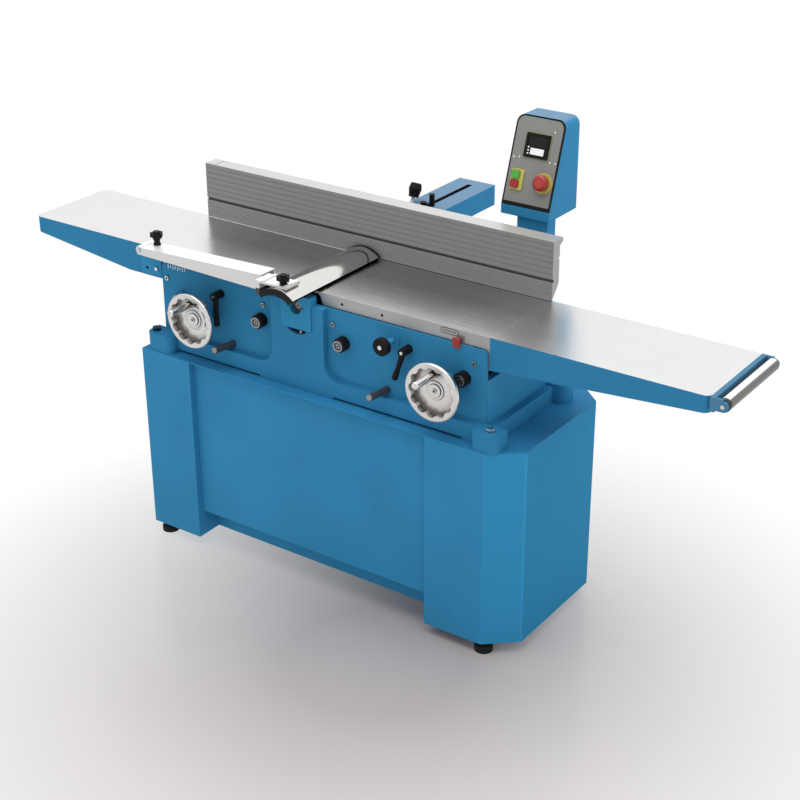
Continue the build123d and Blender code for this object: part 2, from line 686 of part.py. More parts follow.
with BuildPart() as cutterblock:
    block_profile = [
        (0, 0),
        (JOURNAL_RADIUS, 0),
        (JOURNAL_RADIUS, wall_back - journal_front),
        (JOURNAL_SHOULDER, wall_back - journal_front),
        (JOURNAL_SHOULDER, block_front - journal_front),
        (BLOCK_RADIUS, block_front - journal_front),
        (BLOCK_RADIUS, block_back - journal_front),
        (JOURNAL_SHOULDER, block_back - journal_front),
        (JOURNAL_SHOULDER, rear_wall_front - journal_front),
        (JOURNAL_RADIUS, rear_wall_front - journal_front),
        (JOURNAL_RADIUS, belt_front - journal_front),
        (CUTTER_PULLEY, belt_front - journal_front),
        (CUTTER_PULLEY, belt_back - journal_front),
        (0, belt_back - journal_front),
    ]
    turned(point(0, journal_front, axis_z), (0, 1, 0), block_profile)
    slot_depth = block_back - block_front
    knife_shape(front_plane(block_back), KNIFE_THICK, knife_root, CUTTING_RADIUS, slot_depth, Mode.SUBTRACT)
save(cutterblock, "cutterblock")

with BuildPart() as cutter_knives:
    knife_shape(front_plane(block_back), KNIFE_THICK, knife_root, CUTTING_RADIUS, slot_depth, Mode.ADD)
save(cutter_knives, "cutter_knives")

# Drive inside the cabinet
motor_spot = [(MOTOR_X, motor_z)]
MOTOR_BEHIND = 20.0
MOTOR_FOOT_HALF = 68.0
MOTOR_FOOT_INSET = 20.0
SHAFT_TAIL = 10.0
motor_back = TABLE_WIDTH + MOTOR_BEHIND
motor_front = motor_back - MOTOR_LENGTH
with BuildPart() as motor_body:
    rod(front_plane(motor_back), motor_spot, MOTOR_RADIUS, MOTOR_LENGTH)
    block(
        (MOTOR_X - MOTOR_FOOT_HALF, MOTOR_X + MOTOR_FOOT_HALF),
        (motor_front + MOTOR_FOOT_INSET, motor_back - MOTOR_FOOT_INSET),
        (shelf_top, motor_z),
    )
    hollow = MOTOR_LENGTH - 2 * MOTOR_WALL
    motor_inside = MOTOR_RADIUS - MOTOR_WALL
    rod(front_plane(motor_back - MOTOR_WALL), motor_spot, motor_inside, hollow, mode=Mode.SUBTRACT)
    rod(front_plane(motor_back), motor_spot, MOTOR_SHAFT + RUN_FIT, MOTOR_LENGTH, mode=Mode.SUBTRACT)
save(motor_body, "motor_body")

ROTOR_GAP = 20.0
with BuildPart() as motor_rotor:
    rod(front_plane(belt_back), motor_spot, MOTOR_SHAFT, belt_back - motor_front + SHAFT_TAIL)
    core_back = motor_back - MOTOR_WALL - ROTOR_GAP
    rod(front_plane(core_back), motor_spot, ROTOR_RADIUS, hollow - 2 * ROTOR_GAP)
    rod(front_plane(belt_back), motor_spot, MOTOR_PULLEY, BELT_WIDTH)
save(motor_rotor, "motor_rotor")

with BuildPart() as drive_belt:
    belt_outline(BELT_GAP + BELT_THICK, BELT_WIDTH)
    belt_outline(BELT_GAP, BELT_WIDTH, mode=Mode.SUBTRACT)
save(drive_belt, "drive_belt")

COVER_ROOM = 4.0
cover_inner = BELT_GAP + BELT_THICK + COVER_ROOM
cover_depth = BELT_WIDTH + 2 * COVER_ROOM
with BuildPart() as belt_guard:
    belt_outline(cover_inner + BELT_COVER_WALL, cover_depth + 2 * BELT_COVER_WALL)
    belt_outline(cover_inner, cover_depth, mode=Mode.SUBTRACT)
    below = (floor_z, base_bottom)
    around = (-TABLE_WIDTH, TABLE_WIDTH + MOTOR_X)
    block(around, (TABLE_WIDTH, cabinet_rear), below, mode=Mode.SUBTRACT)
    shaft_hole = JOURNAL_RADIUS + COVER_ROOM
    rod(front_plane(belt_front), cutter_spot, shaft_hole, BELT_Y, mode=Mode.SUBTRACT)
save(belt_guard, "belt_guard")

CHUTE_SETBACK = 45.0
CHUTE_MARGIN = 6.0
CHUTE_FRONT_DROP = 60.0
CHUTE_REAR_DROP = 30.0
chute_back = cabinet_rear - CHUTE_SETBACK
spigot_top = -SPIGOT_DROP + SPIGOT_RADIUS
spigot_bottom = -SPIGOT_DROP - SPIGOT_RADIUS
with BuildPart() as chip_chute:
    shell = SHEET
    chute_outer = [
        (CHIP_INSET - shell, plate_under),
        (TABLE_WIDTH - CHIP_INSET + shell, plate_under),
        (TABLE_WIDTH - CHIP_INSET + shell, plate_under - CHUTE_REAR_DROP),
        (chute_back, spigot_top + CHUTE_MARGIN + shell),
        (chute_back, spigot_bottom - CHUTE_MARGIN - shell),
        (chute_back - 2 * SPIGOT_RADIUS, spigot_bottom - CHUTE_MARGIN - shell),
        (CHIP_INSET - shell, plate_under - CHUTE_FRONT_DROP),
    ]
    chute_inner = [
        (CHIP_INSET, plate_under),
        (TABLE_WIDTH - CHIP_INSET, plate_under),
        (TABLE_WIDTH - CHIP_INSET, plate_under - CHUTE_REAR_DROP - shell),
        (chute_back - shell, spigot_top + CHUTE_MARGIN),
        (chute_back - shell, spigot_bottom - CHUTE_MARGIN),
        (chute_back - 2 * SPIGOT_RADIUS, spigot_bottom - CHUTE_MARGIN),
        (CHIP_INSET, plate_under - CHUTE_FRONT_DROP),
    ]
    slab(side_plane(CHUTE_LEFT - shell), chute_outer, CHUTE_RIGHT - CHUTE_LEFT + 2 * shell)
    slab(side_plane(CHUTE_LEFT), chute_inner, CHUTE_RIGHT - CHUTE_LEFT, mode=Mode.SUBTRACT)
    spigot_end = cabinet_rear + SPIGOT_LENGTH
    spigot_spot = [(SPIGOT_X, -SPIGOT_DROP)]
    rod(front_plane(spigot_end), spigot_spot, SPIGOT_RADIUS, SPIGOT_LENGTH)
    rod(front_plane(cabinet_rear + SPIGOT_FLANGE_THICK), spigot_spot, SPIGOT_FLANGE, SPIGOT_FLANGE_THICK)
    rod(front_plane(cabinet_rear), spigot_spot, SPIGOT_NECK, cabinet_rear - chute_back)
    spigot_bore = SPIGOT_NECK - SPIGOT_WALL
    bore_length = spigot_end - chute_back + shell
    rod(front_plane(spigot_end), spigot_spot, spigot_bore, bore_length, mode=Mode.SUBTRACT)
save(chip_chute, "chip_chute")

# Tables
UNDERCUT_RADIUS = 72.0   # of the hollow round the cutter under the lips
LIP_ROOT = 10.0


def table_main(end, lip, flange, slide, wheel_x, rise):
    """Main table casting: plate hollowed round the cutter, lip, joint flange and two inclined slides."""
    plate = sorted((end, math.copysign(THROAT, end)))
    block(plate, (0, TABLE_WIDTH), (-TABLE_THICK, 0))
    rod(front_plane(TABLE_WIDTH), cutter_spot, UNDERCUT_RADIUS, TABLE_WIDTH, mode=Mode.SUBTRACT)
    block(sorted(lip), (0, TABLE_WIDTH), (-LIP_THICK, 0))
    block(sorted(flange), (0, TABLE_WIDTH), (-FLANGE_DROP, -TABLE_THICK))
    slide_front = SLIDE_INSET
    slide_width = WAY_WIDTH - WALL_GAP - 2 * SLIDE_INSET
    for back in (slide_front + slide_width, TABLE_WIDTH - SLIDE_INSET):
        under = incline(slide[0], slide[1], wheel_x, rise, -TABLE_THICK, lift=SLIDE_GAP)
        slab(front_plane(back), under, slide_width)


SLIDE_END_ROOM = 30.0
SLIDE_TOP_ROOM = 7.0
outfeed_slide = (left_inner_face + SLIDE_END_ROOM, OUTFEED_WAY_TOP - SLIDE_TOP_ROOM)
infeed_slide = (INFEED_WAY_TOP + SLIDE_TOP_ROOM, right_inner_face - SLIDE_END_ROOM - INFEED_LIFT[1])

with BuildPart() as outfeed_table:
    lip = (-THROAT - LIP_ROOT, -THROAT + LIP_REACH)
    table_main(out_end, lip, (out_end, out_end + FLANGE_THICK), outfeed_slide, OUTFEED_WHEEL_X, 1)
save(outfeed_table, "outfeed_table")

edge_holes = [(EDGE_HOLE_X, -EDGE_HOLE_DROP), (EDGE_HOLE_X + EDGE_HOLE_SPACING, -EDGE_HOLE_DROP)]
with BuildPart() as infeed_table:
    lip = (THROAT + LIP_ROOT, THROAT - LIP_REACH)
    table_main(in_end, lip, (in_end - FLANGE_THICK, in_end), infeed_slide, INFEED_WHEEL_X, -1)
    rod(front_plane(EDGE_HOLE_DEPTH), edge_holes, EDGE_HOLE_RADIUS, EDGE_HOLE_DEPTH, mode=Mode.SUBTRACT)
save(infeed_table, "infeed_table")

RIB_THICK = 12.0
EXTENSION_BAYS = 3


def extension(profile, tip, joint, tip_edges):
    """Table extension: a shell with a ground top, side skirts, ribs and rounded tip corners."""
    slab(front_plane(TABLE_WIDTH), profile, TABLE_WIDTH)
    corners = tip_edges.part.edges().filter_by(Axis.Z)
    fillet(corners.filter_by_position(Axis.X, CUTTER_X + tip - 1, CUTTER_X + tip + 1), TIP_ROUND)
    inward = math.copysign(1, joint - tip)
    start = tip + inward * SKIRT_WALL
    end = joint - inward * FLANGE_THICK
    bay = (end - start - inward * RIB_THICK * (EXTENSION_BAYS - 1)) / EXTENSION_BAYS
    for number in range(EXTENSION_BAYS):
        bay_start = start + number * (bay + inward * RIB_THICK)
        span = sorted((bay_start, bay_start + bay))
        middle_rib = ((TABLE_WIDTH - RIB_THICK) / 2, (TABLE_WIDTH + RIB_THICK) / 2)
        for side in ((SKIRT_WALL, middle_rib[0]), (middle_rib[1], TABLE_WIDTH - SKIRT_WALL)):
            block(span, side, (-2 * FLANGE_DROP, -EXTENSION_TOP), mode=Mode.SUBTRACT)


with BuildPart() as outfeed_extension:
    outfeed_side = [
        (out_end, 0),
        (out_end, -FLANGE_DROP),
        (out_end - OUTFEED_KINK, -FLANGE_DROP),
        (out_tip, -OUTFEED_TIP_DROP),
        (out_tip, 0),
    ]
    extension(outfeed_side, out_tip, out_end, outfeed_extension)
save(outfeed_extension, "outfeed_extension")

with BuildPart() as infeed_extension:
    infeed_side = [(in_end, 0), (in_end, -FLANGE_DROP), (in_tip, -INFEED_TIP_DROP), (in_tip, 0)]
    extension(infeed_side, in_tip, in_end, infeed_extension)
save(infeed_extension, "infeed_extension")

# End roller
ROLLER_RADIUS = 16.5
ROLLER_REACH = 33.5     # from the table tip to the roller axis
ROLLER_DROP = 18.0
ROLLER_AXLE = 5.0
EAR_THICK = 8.0
EAR_RADIUS = 14.0
BAR_THICK = 13.0
BAR_RISE = 8.0          # above the lower edge of the table tip
roller_axis = [(in_tip + ROLLER_REACH, -ROLLER_DROP)]
ear_back = (EAR_THICK, TABLE_WIDTH)
bar_bottom = BAR_RISE - INFEED_TIP_DROP
with BuildPart() as roller_brackets:
    block((in_tip, in_tip + BAR_THICK), (0, TABLE_WIDTH), (bar_bottom, 0))
    for back in ear_back:
        block((in_tip, in_tip + ROLLER_REACH), (back - EAR_THICK, back), (-ROLLER_DROP - EAR_RADIUS, 0))
        rod(front_plane(back), roller_axis, EAR_RADIUS, EAR_THICK)
    rod(front_plane(TABLE_WIDTH), roller_axis, ROLLER_AXLE, TABLE_WIDTH)
save(roller_brackets, "roller_brackets")

with BuildPart() as end_roller:
    roller_length = TABLE_WIDTH - 2 * EAR_THICK - 2 * FREE_GAP
    roller_back = front_plane(TABLE_WIDTH - EAR_THICK - FREE_GAP)
    rod(roller_back, roller_axis, ROLLER_RADIUS, roller_length)
    rod(roller_back, roller_axis, ROLLER_AXLE + RUN_FIT, roller_length, mode=Mode.SUBTRACT)
save(end_roller, "end_roller")

# Table lift: racks, pinion shafts, handwheels and grips
pitch_radius = PINION_MODULE * PINION_TEETH / 2
ROOT_DEPTH = 1.25 * PINION_MODULE
TIP_SPARE = 0.2
FLANK_STEPS = 5
pressure = math.radians(PRESSURE_ANGLE)


def rack_outline(wheel_x, rise, behind, ahead):
    """Side view of a rack plate under a table, with its teeth on the pitch line of the pinion."""
    along = Vector(-rise * math.cos(slope), -math.sin(slope))
    up = Vector(-rise * math.sin(slope), math.cos(slope))
    pitch_point = Vector(wheel_x, wheel_z) + up * pitch_radius
    pitch = math.pi * PINION_MODULE
    half = pitch / 4 - TOOTH_BACKLASH / 2
    root_half = half + ROOT_DEPTH * math.tan(pressure)
    tip_half = half - PINION_MODULE * math.tan(pressure)
    corners = []
    for number in range(-round(behind / pitch), round(ahead / pitch) + 1):
        centre = pitch_point + along * (number * pitch)
        corners.append(centre - along * root_half + up * ROOT_DEPTH)
        corners.append(centre - along * tip_half - up * PINION_MODULE)
        corners.append(centre + along * tip_half - up * PINION_MODULE)
        corners.append(centre + along * root_half + up * ROOT_DEPTH)
    outline = [(corner.X, corner.Y) for corner in corners]
    return outline + [(outline[-1][0], -TABLE_THICK), (outline[0][0], -TABLE_THICK)]


RACK_SPARE = 14.0
with BuildPart() as outfeed_rack:
    teeth = rack_outline(OUTFEED_WHEEL_X, 1, OUTFEED_LIFT[1] + RACK_SPARE, RACK_SPARE - OUTFEED_LIFT[0])
    slab(front_plane(RACK_Y + RACK_WIDTH), teeth, RACK_WIDTH)
save(outfeed_rack, "outfeed_rack")

with BuildPart() as infeed_rack:
    teeth = rack_outline(INFEED_WHEEL_X, -1, INFEED_LIFT[1] + RACK_SPARE, RACK_SPARE - INFEED_LIFT[0])
    slab(front_plane(RACK_Y + RACK_WIDTH), teeth, RACK_WIDTH)
save(infeed_rack, "infeed_rack")


def tooth_gap(middle):
    """Corners of one pinion tooth gap with involute sides, about the pinion axis."""
    base_radius = pitch_radius * math.cos(pressure)
    tip_radius = pitch_radius + PINION_MODULE + TIP_SPARE
    root_radius = pitch_radius - ROOT_DEPTH
    gap_half = math.pi / (2 * PINION_TEETH) + TOOTH_BACKLASH / (2 * pitch_radius)
    involute_at_pitch = math.tan(pressure) - pressure
    side = []
    for step in range(FLANK_STEPS + 1):
        radius = base_radius + (tip_radius - base_radius) * step / FLANK_STEPS
        turn = math.acos(base_radius / radius)
        side.append((radius, gap_half + math.tan(turn) - turn - involute_at_pitch))
    half = [(root_radius, side[0][1])] + side
    whole = [(radius, middle - angle) for radius, angle in half]
    whole += [(radius, middle + angle) for radius, angle in reversed(half)]
    return [(radius * math.cos(angle), radius * math.sin(angle)) for radius, angle in whole]


wheel_back = pocket_face - WHEEL_STANDOFF
shaft_front = wheel_back
SHAFT_SETBACK = 40.0
shaft_back = TABLE_WIDTH - SLIDE_INSET - SHAFT_SETBACK
PINION_SIDE = 3.0


def pinion_shaft(wheel_x, rise):
    """Shaft with the pinion cut into it, one tooth gap facing the rack."""
    rod(front_plane(shaft_back), [(wheel_x, wheel_z)], SHAFT_RADIUS, shaft_back - shaft_front)
    facing = math.pi / 2 + rise * slope
    with BuildSketch(front_plane(RACK_Y + RACK_WIDTH + PINION_SIDE)) as gaps:
        for number in range(PINION_TEETH):
            corners = tooth_gap(facing + number * math.tau / PINION_TEETH)
            with BuildLine():
                Polyline(*[(wheel_x + across, wheel_z + up) for across, up in corners], close=True)
            make_face()
    extrude(gaps.sketch, amount=RACK_WIDTH + 2 * PINION_SIDE, mode=Mode.SUBTRACT)


with BuildPart() as outfeed_shaft:
    pinion_shaft(OUTFEED_WHEEL_X, 1)
save(outfeed_shaft, "outfeed_shaft")

with BuildPart() as infeed_shaft:
    pinion_shaft(INFEED_WHEEL_X, -1)
save(infeed_shaft, "infeed_shaft")

HUB_RADIUS = 20.0
HUB_GAP = 4.0
RIM_BACK_INSET = 16.0    # the rim tapers by this much towards its back
RIM_BACK_EDGE = 4.0
RIM_FRONT_EDGE = 8.0
RIM_WIDTH = 18.0
SCALLOP_COUNT = 12
SCALLOP_RADIUS = 13.0
SCALLOP_BITE = 6.0      # into the inside of the rim
SCALLOP_DEPTH = 18.0
RIM_ROUND = 5.0
RING_RADIUS = 26.0
RING_HEIGHT = 2.0
BOSS_RADIUS = 18.0
BOSS_HEIGHT = 3.0
SCREW_RADIUS = 6.0
SCREW_HEIGHT = 3.0
GRIP_END_ROUND = 4.0
GRIP_END_WALL = 5.0
GRIP_PIN_SHORT = 6.0    # the pin ends this far inside the grip
rim_front = wheel_back - WHEEL_RIM_DEPTH
web_front = wheel_back - WHEEL_WEB
hub_back = pocket_face - COLLAR_LENGTH - HUB_GAP
grip_back = web_front - FREE_GAP
grip_front = grip_back - GRIP_LENGTH


def handwheel(builder, wheel_x):
    """Dished handwheel with a scalloped rim, a ringed hub and the fixed pin of its grip."""
    centre = (wheel_x, wheel_z)
    rim_inside = WHEEL_RADIUS - RIM_WIDTH
    dish = [
        (0, 0),
        (WHEEL_RADIUS - RIM_BACK_INSET, 0),
        (WHEEL_RADIUS - RIM_BACK_INSET, RIM_BACK_EDGE),
        (WHEEL_RADIUS, WHEEL_RIM_DEPTH - RIM_FRONT_EDGE),
        (WHEEL_RADIUS, WHEEL_RIM_DEPTH),
        (rim_inside, WHEEL_RIM_DEPTH),
        (rim_inside, WHEEL_WEB),
        (0, WHEEL_WEB),
    ]
    turned(point(wheel_x, wheel_back, wheel_z), (0, -1, 0), dish)
    front_edges = builder.part.edges().filter_by(GeomType.CIRCLE).group_by(Axis.Y)[0]
    fillet(front_edges.sort_by(SortBy.RADIUS)[-1], RIM_ROUND)
    with BuildSketch(front_plane(rim_front)) as scallops:
        with Locations(centre):
            with PolarLocations(rim_inside + SCALLOP_BITE - SCALLOP_RADIUS, SCALLOP_COUNT):
                Circle(SCALLOP_RADIUS)
    extrude(scallops.sketch, amount=-SCALLOP_DEPTH, mode=Mode.SUBTRACT)
    rod(front_plane(web_front), [centre], RING_RADIUS, RING_HEIGHT)
    rod(front_plane(web_front - RING_HEIGHT), [centre], BOSS_RADIUS, BOSS_HEIGHT)
    rod(front_plane(web_front - RING_HEIGHT - BOSS_HEIGHT), [centre], SCREW_RADIUS, SCREW_HEIGHT)
    rod(front_plane(hub_back), [centre], HUB_RADIUS, hub_back - wheel_back)
    rod(front_plane(hub_back), [centre], SHAFT_RADIUS + RUN_FIT, hub_back - shaft_front, mode=Mode.SUBTRACT)
    pin = (wheel_x + GRIP_OFFSET[0], wheel_z + GRIP_OFFSET[1])
    rod(front_plane(web_front), [pin], GRIP_PIN, web_front - grip_front - GRIP_PIN_SHORT)


def grip(builder, wheel_x):
    """Turning grip, closed at its outer end."""
    spot = [(wheel_x + GRIP_OFFSET[0], wheel_z + GRIP_OFFSET[1])]
    rod(front_plane(grip_back), spot, GRIP_RADIUS, GRIP_LENGTH)
    fillet(builder.part.edges().filter_by(GeomType.CIRCLE).group_by(Axis.Y)[0], GRIP_END_ROUND)
    bore_length = GRIP_LENGTH - GRIP_END_WALL
    rod(front_plane(grip_back), spot, GRIP_PIN + RUN_FIT, bore_length, mode=Mode.SUBTRACT)


with BuildPart() as outfeed_handwheel:
    handwheel(outfeed_handwheel, OUTFEED_WHEEL_X)
save(outfeed_handwheel, "outfeed_handwheel")

with BuildPart() as infeed_handwheel:
    handwheel(infeed_handwheel, INFEED_WHEEL_X)
save(infeed_handwheel, "infeed_handwheel")

with BuildPart() as outfeed_grip:
    grip(outfeed_grip, OUTFEED_WHEEL_X)
save(outfeed_grip, "outfeed_grip")

with BuildPart() as infeed_grip:
    grip(infeed_grip, INFEED_WHEEL_X)
save(infeed_grip, "infeed_grip")

# Clamp levers and lock knob on the cheeks
LEVER_HUB = 12.0
LEVER_STANDOFF = 36.0
LEVER_LENGTH = 92.0
LEVER_ROOT = 9.0
LEVER_WAIST = 6.5
LEVER_WAIST_SHARE = 0.6     # of the handle's length
LEVER_TIP = 8.5
LEVER_GAP = 0.3
LEVER_END = 3.0
LEVER_BULB = 18.0
LEVER_INSET = 1.0       # of the handle behind the front of the hub
LEVER_BUTTON = 5.0
LEVER_BUTTON_HEIGHT = 1.5
INFEED_LEVER_LEAN = 19.0


def clamp_lever(spot, lean):
    """Cranked lever: a round hub on a stud, and a tapered handle that hangs from its front end."""
    hub_start = pocket_face - LEVER_GAP
    rod(front_plane(wall_back), [spot], LEVER_STUD, wall_back - hub_start)
    rod(front_plane(hub_start), [spot], LEVER_HUB, LEVER_STANDOFF)
    rod(front_plane(hub_start - LEVER_STANDOFF), [spot], LEVER_BUTTON, LEVER_BUTTON_HEIGHT)
    swing = math.radians(lean)
    hang = (-math.sin(swing), 0, -math.cos(swing))
    start = point(spot[0], hub_start - LEVER_STANDOFF + LEVER_ROOT + LEVER_INSET, spot[1])
    handle = [
        (0, 0),
        (LEVER_ROOT, 0),
        (LEVER_WAIST, LEVER_WAIST_SHARE * LEVER_LENGTH),
        (LEVER_TIP, LEVER_LENGTH - LEVER_BULB),
        (LEVER_TIP, LEVER_LENGTH - LEVER_END),
        (LEVER_TIP - LEVER_END, LEVER_LENGTH),
        (0, LEVER_LENGTH),
    ]
    turned(start, hang, handle)


with BuildPart() as outfeed_clamp_lever:
    clamp_lever(OUTFEED_LEVER, 0.0)
save(outfeed_clamp_lever, "outfeed_clamp_lever")

with BuildPart() as infeed_clamp_lever:
    clamp_lever(INFEED_LEVER, INFEED_LEVER_LEAN)
save(infeed_clamp_lever, "infeed_clamp_lever")

LOCK_RADIUS = 25.0
LOCK_NECK = 9.0
LOCK_NECK_LENGTH = 38.0
LOCK_FLARE = 3.0
LOCK_RIM = 16.0
LOCK_BUTTON = 7.0
LOCK_BUTTON_HEIGHT = 1.0
with BuildPart() as lock_knob:
    ring_face = pocket_face - LOCK_RING_HEIGHT - LEVER_GAP
    seat = wall_back - ring_face
    knob_low = seat + LOCK_NECK_LENGTH
    knob_front = knob_low + LOCK_RIM + LOCK_FLARE
    knob_profile = [
        (0, 0),
        (LEVER_STUD, 0),
        (LEVER_STUD, seat),
        (LOCK_NECK, seat),
        (LOCK_NECK, knob_low),
        (LOCK_RADIUS - LOCK_FLARE, knob_low),
        (LOCK_RADIUS, knob_low + LOCK_FLARE),
        (LOCK_RADIUS, knob_low + LOCK_RIM),
        (LOCK_RADIUS - LOCK_FLARE, knob_front),
        (LOCK_BUTTON, knob_front),
        (LOCK_BUTTON, knob_front + LOCK_BUTTON_HEIGHT),
        (0, knob_front + LOCK_BUTTON_HEIGHT),
    ]
    turned(point(LOCK_KNOB[0], wall_back, LOCK_KNOB[1]), (0, -1, 0), knob_profile)
save(lock_knob, "lock_knob")

POINTER_X = (500.0, 522.0)
POINTER_Z = (-48.0, -20.0)
POINTER_THICK = 6.0
POINTER_CHAMFER = 2.0
with BuildPart() as depth_pointer:
    block(POINTER_X, (pocket_face - POINTER_THICK, pocket_face), POINTER_Z)
    chamfer(depth_pointer.edges().filter_by(Axis.X).group_by(Axis.Y)[0], POINTER_CHAMFER)
save(depth_pointer, "depth_pointer")

# Bridge guard
GUARD_PIVOT_REACH = 25.0   # outside the end of the outfeed main table
GUARD_PIVOT_Z = 14.0
GUARD_PIN = 6.0
GUARD_BOSS = 12.0
ARM_FRONT = -68.0
ARM_BACK = -8.0
ARM_WALL = 3.0
ARM_END_X = -87.0
ARM_LEFT_TOP = 22.0
ARM_RIGHT_TOP = 38.0
ARM_LEFT_LOW = 0.0
ARM_RIGHT_LOW = -8.0
ARM_OVERHANG = 8.0
ARM_SOLID_END = 20.0
BRACKET_LENGTH = 78.0
BRACKET_GAP = 2.0       # to the end of the main table
BRACKET_PIN = (7.0, -61.0)
BRACKET_PIN_RADIUS = 6.0
BRACKET_PIN_HEIGHT = 5.0
BRACKET_HOLE = (23.0, -66.0)
BRACKET_HOLE_RADIUS = 5.0
BRACKET_HOLE_DEPTH = 4.0
PIN_END = 2.0           # of a pivot pin beyond the arm
BRACKET_PLATE = 7.0
BRACKET_TOP = -18.0
BRACKET_LOW = -84.0
pivot_x = out_end - GUARD_PIVOT_REACH
guard_pivot = [(pivot_x, GUARD_PIVOT_Z)]
arm_left = pivot_x - ARM_OVERHANG
bracket_right = out_end - BRACKET_GAP
bracket_left = bracket_right - BRACKET_LENGTH

with BuildPart() as guard_bracket:
    block((bracket_left, bracket_right), (-BRACKET_PLATE, 0), (BRACKET_LOW, BRACKET_TOP))
    bracket_sides = (pivot_x - GUARD_BOSS, pivot_x + GUARD_BOSS)
    block(bracket_sides, (-BRACKET_PLATE, 0), (BRACKET_LOW, GUARD_PIVOT_Z))
    rod(front_plane(0), guard_pivot, GUARD_BOSS, BRACKET_PLATE)
    rod(front_plane(0), guard_pivot, GUARD_PIN, PIN_END - ARM_FRONT)
    pin_spot = (pivot_x + BRACKET_PIN[0], BRACKET_PIN[1])
    rod(front_plane(-BRACKET_PLATE), [pin_spot], BRACKET_PIN_RADIUS, BRACKET_PIN_HEIGHT)
    hole_spot = (bracket_left + BRACKET_HOLE[0], BRACKET_HOLE[1])
    hole_bottom = front_plane(BRACKET_HOLE_DEPTH - BRACKET_PLATE)
    rod(hole_bottom, [hole_spot], BRACKET_HOLE_RADIUS, BRACKET_HOLE_DEPTH, mode=Mode.SUBTRACT)
save(guard_bracket, "guard_bracket")

HEAD_PIVOT_X = -98.0
HEAD_PIVOT_Z = 15.0
HEAD_PIN = 5.0
STEM_RADIUS = 5.0
HEIGHT_KNOB_OFFSET = 31.0   # from the pivot of the arm
HEIGHT_KNOB_Y = -24.0
height_knob = (pivot_x + HEIGHT_KNOB_OFFSET, HEIGHT_KNOB_Y)
head_pivot = [(HEAD_PIVOT_X, HEAD_PIVOT_Z)]
arm_outer = [
    (arm_left, ARM_LEFT_LOW),
    (ARM_END_X, ARM_RIGHT_LOW),
    (ARM_END_X, ARM_RIGHT_TOP),
    (arm_left, ARM_LEFT_TOP),
]
arm_inner = [
    (arm_left + ARM_SOLID_END, 2 * ARM_RIGHT_LOW),
    (ARM_END_X, 2 * ARM_RIGHT_LOW),
    (ARM_END_X, ARM_RIGHT_TOP - ARM_WALL),
    (arm_left + ARM_SOLID_END, ARM_LEFT_TOP - ARM_WALL),
]
with BuildPart() as guard_arm:
    slab(front_plane(ARM_BACK), arm_outer, ARM_BACK - ARM_FRONT)
    rod(front_plane(ARM_BACK), guard_pivot, GUARD_BOSS, ARM_BACK - ARM_FRONT)
    arm_inside = ARM_BACK - ARM_FRONT - 2 * ARM_WALL
    slab(front_plane(ARM_BACK - ARM_WALL), arm_inner, arm_inside, mode=Mode.SUBTRACT)
    rod(front_plane(ARM_BACK), guard_pivot, GUARD_PIN + RUN_FIT, ARM_BACK - ARM_FRONT, mode=Mode.SUBTRACT)
    rod(front_plane(ARM_BACK), head_pivot, HEAD_PIN + RUN_FIT, ARM_BACK - ARM_FRONT, mode=Mode.SUBTRACT)
    rod(level_plane(0), [height_knob], STEM_RADIUS + RUN_FIT, 2 * ARM_RIGHT_TOP, mode=Mode.SUBTRACT)
save(guard_arm, "guard_arm")

STAR_RADIUS = 19.0
STAR_POINTS = 5
STAR_BODY = 15.0
STAR_HEIGHT = 17.0
STAR_CROWN = 4.0
STAR_CAP = 10.0
LOBE_RADIUS = 6.0
NECK_RADIUS = 8.0
KNOB_COLLAR = 11.0
KNOB_COLLAR_HEIGHT = 3.0
KNOB_GAP = 1.0


def star_knob(spot, bottom, neck, top):
    """Lobed clamping knob on a flared neck, with a stem that goes down to bottom."""
    head_low = top - STAR_HEIGHT
    neck_profile = [
        (0, 0),
        (STEM_RADIUS, 0),
        (STEM_RADIUS, neck - bottom),
        (KNOB_COLLAR, neck - bottom),
        (KNOB_COLLAR, neck - bottom + KNOB_COLLAR_HEIGHT),
        (NECK_RADIUS, neck - bottom + 2 * KNOB_COLLAR_HEIGHT),
        (STAR_BODY - KNOB_COLLAR_HEIGHT, head_low - bottom),
        (0, head_low - bottom),
    ]
    turned(point(spot[0], spot[1], bottom), (0, 0, 1), neck_profile)
    with BuildSketch(level_plane(head_low)) as star:
        with Locations(spot):
            Circle(STAR_BODY)
            with PolarLocations(STAR_RADIUS - LOBE_RADIUS, STAR_POINTS):
                Circle(LOBE_RADIUS)
    extrude(star.sketch, amount=STAR_HEIGHT - STAR_CROWN)
    rod(level_plane(top - STAR_CROWN), [spot], STAR_CAP, STAR_CROWN)


HEIGHT_KNOB_TOP = 64.0
with BuildPart() as guard_height_knob:
    knob_share = (height_knob[0] - arm_left) / (ARM_END_X - arm_left)
    arm_top = ARM_LEFT_TOP + (ARM_RIGHT_TOP - ARM_LEFT_TOP) * knob_share
    star_knob(height_knob, ARM_LEFT_LOW, arm_top + KNOB_GAP, HEIGHT_KNOB_TOP)
save(guard_height_knob, "guard_height_knob")

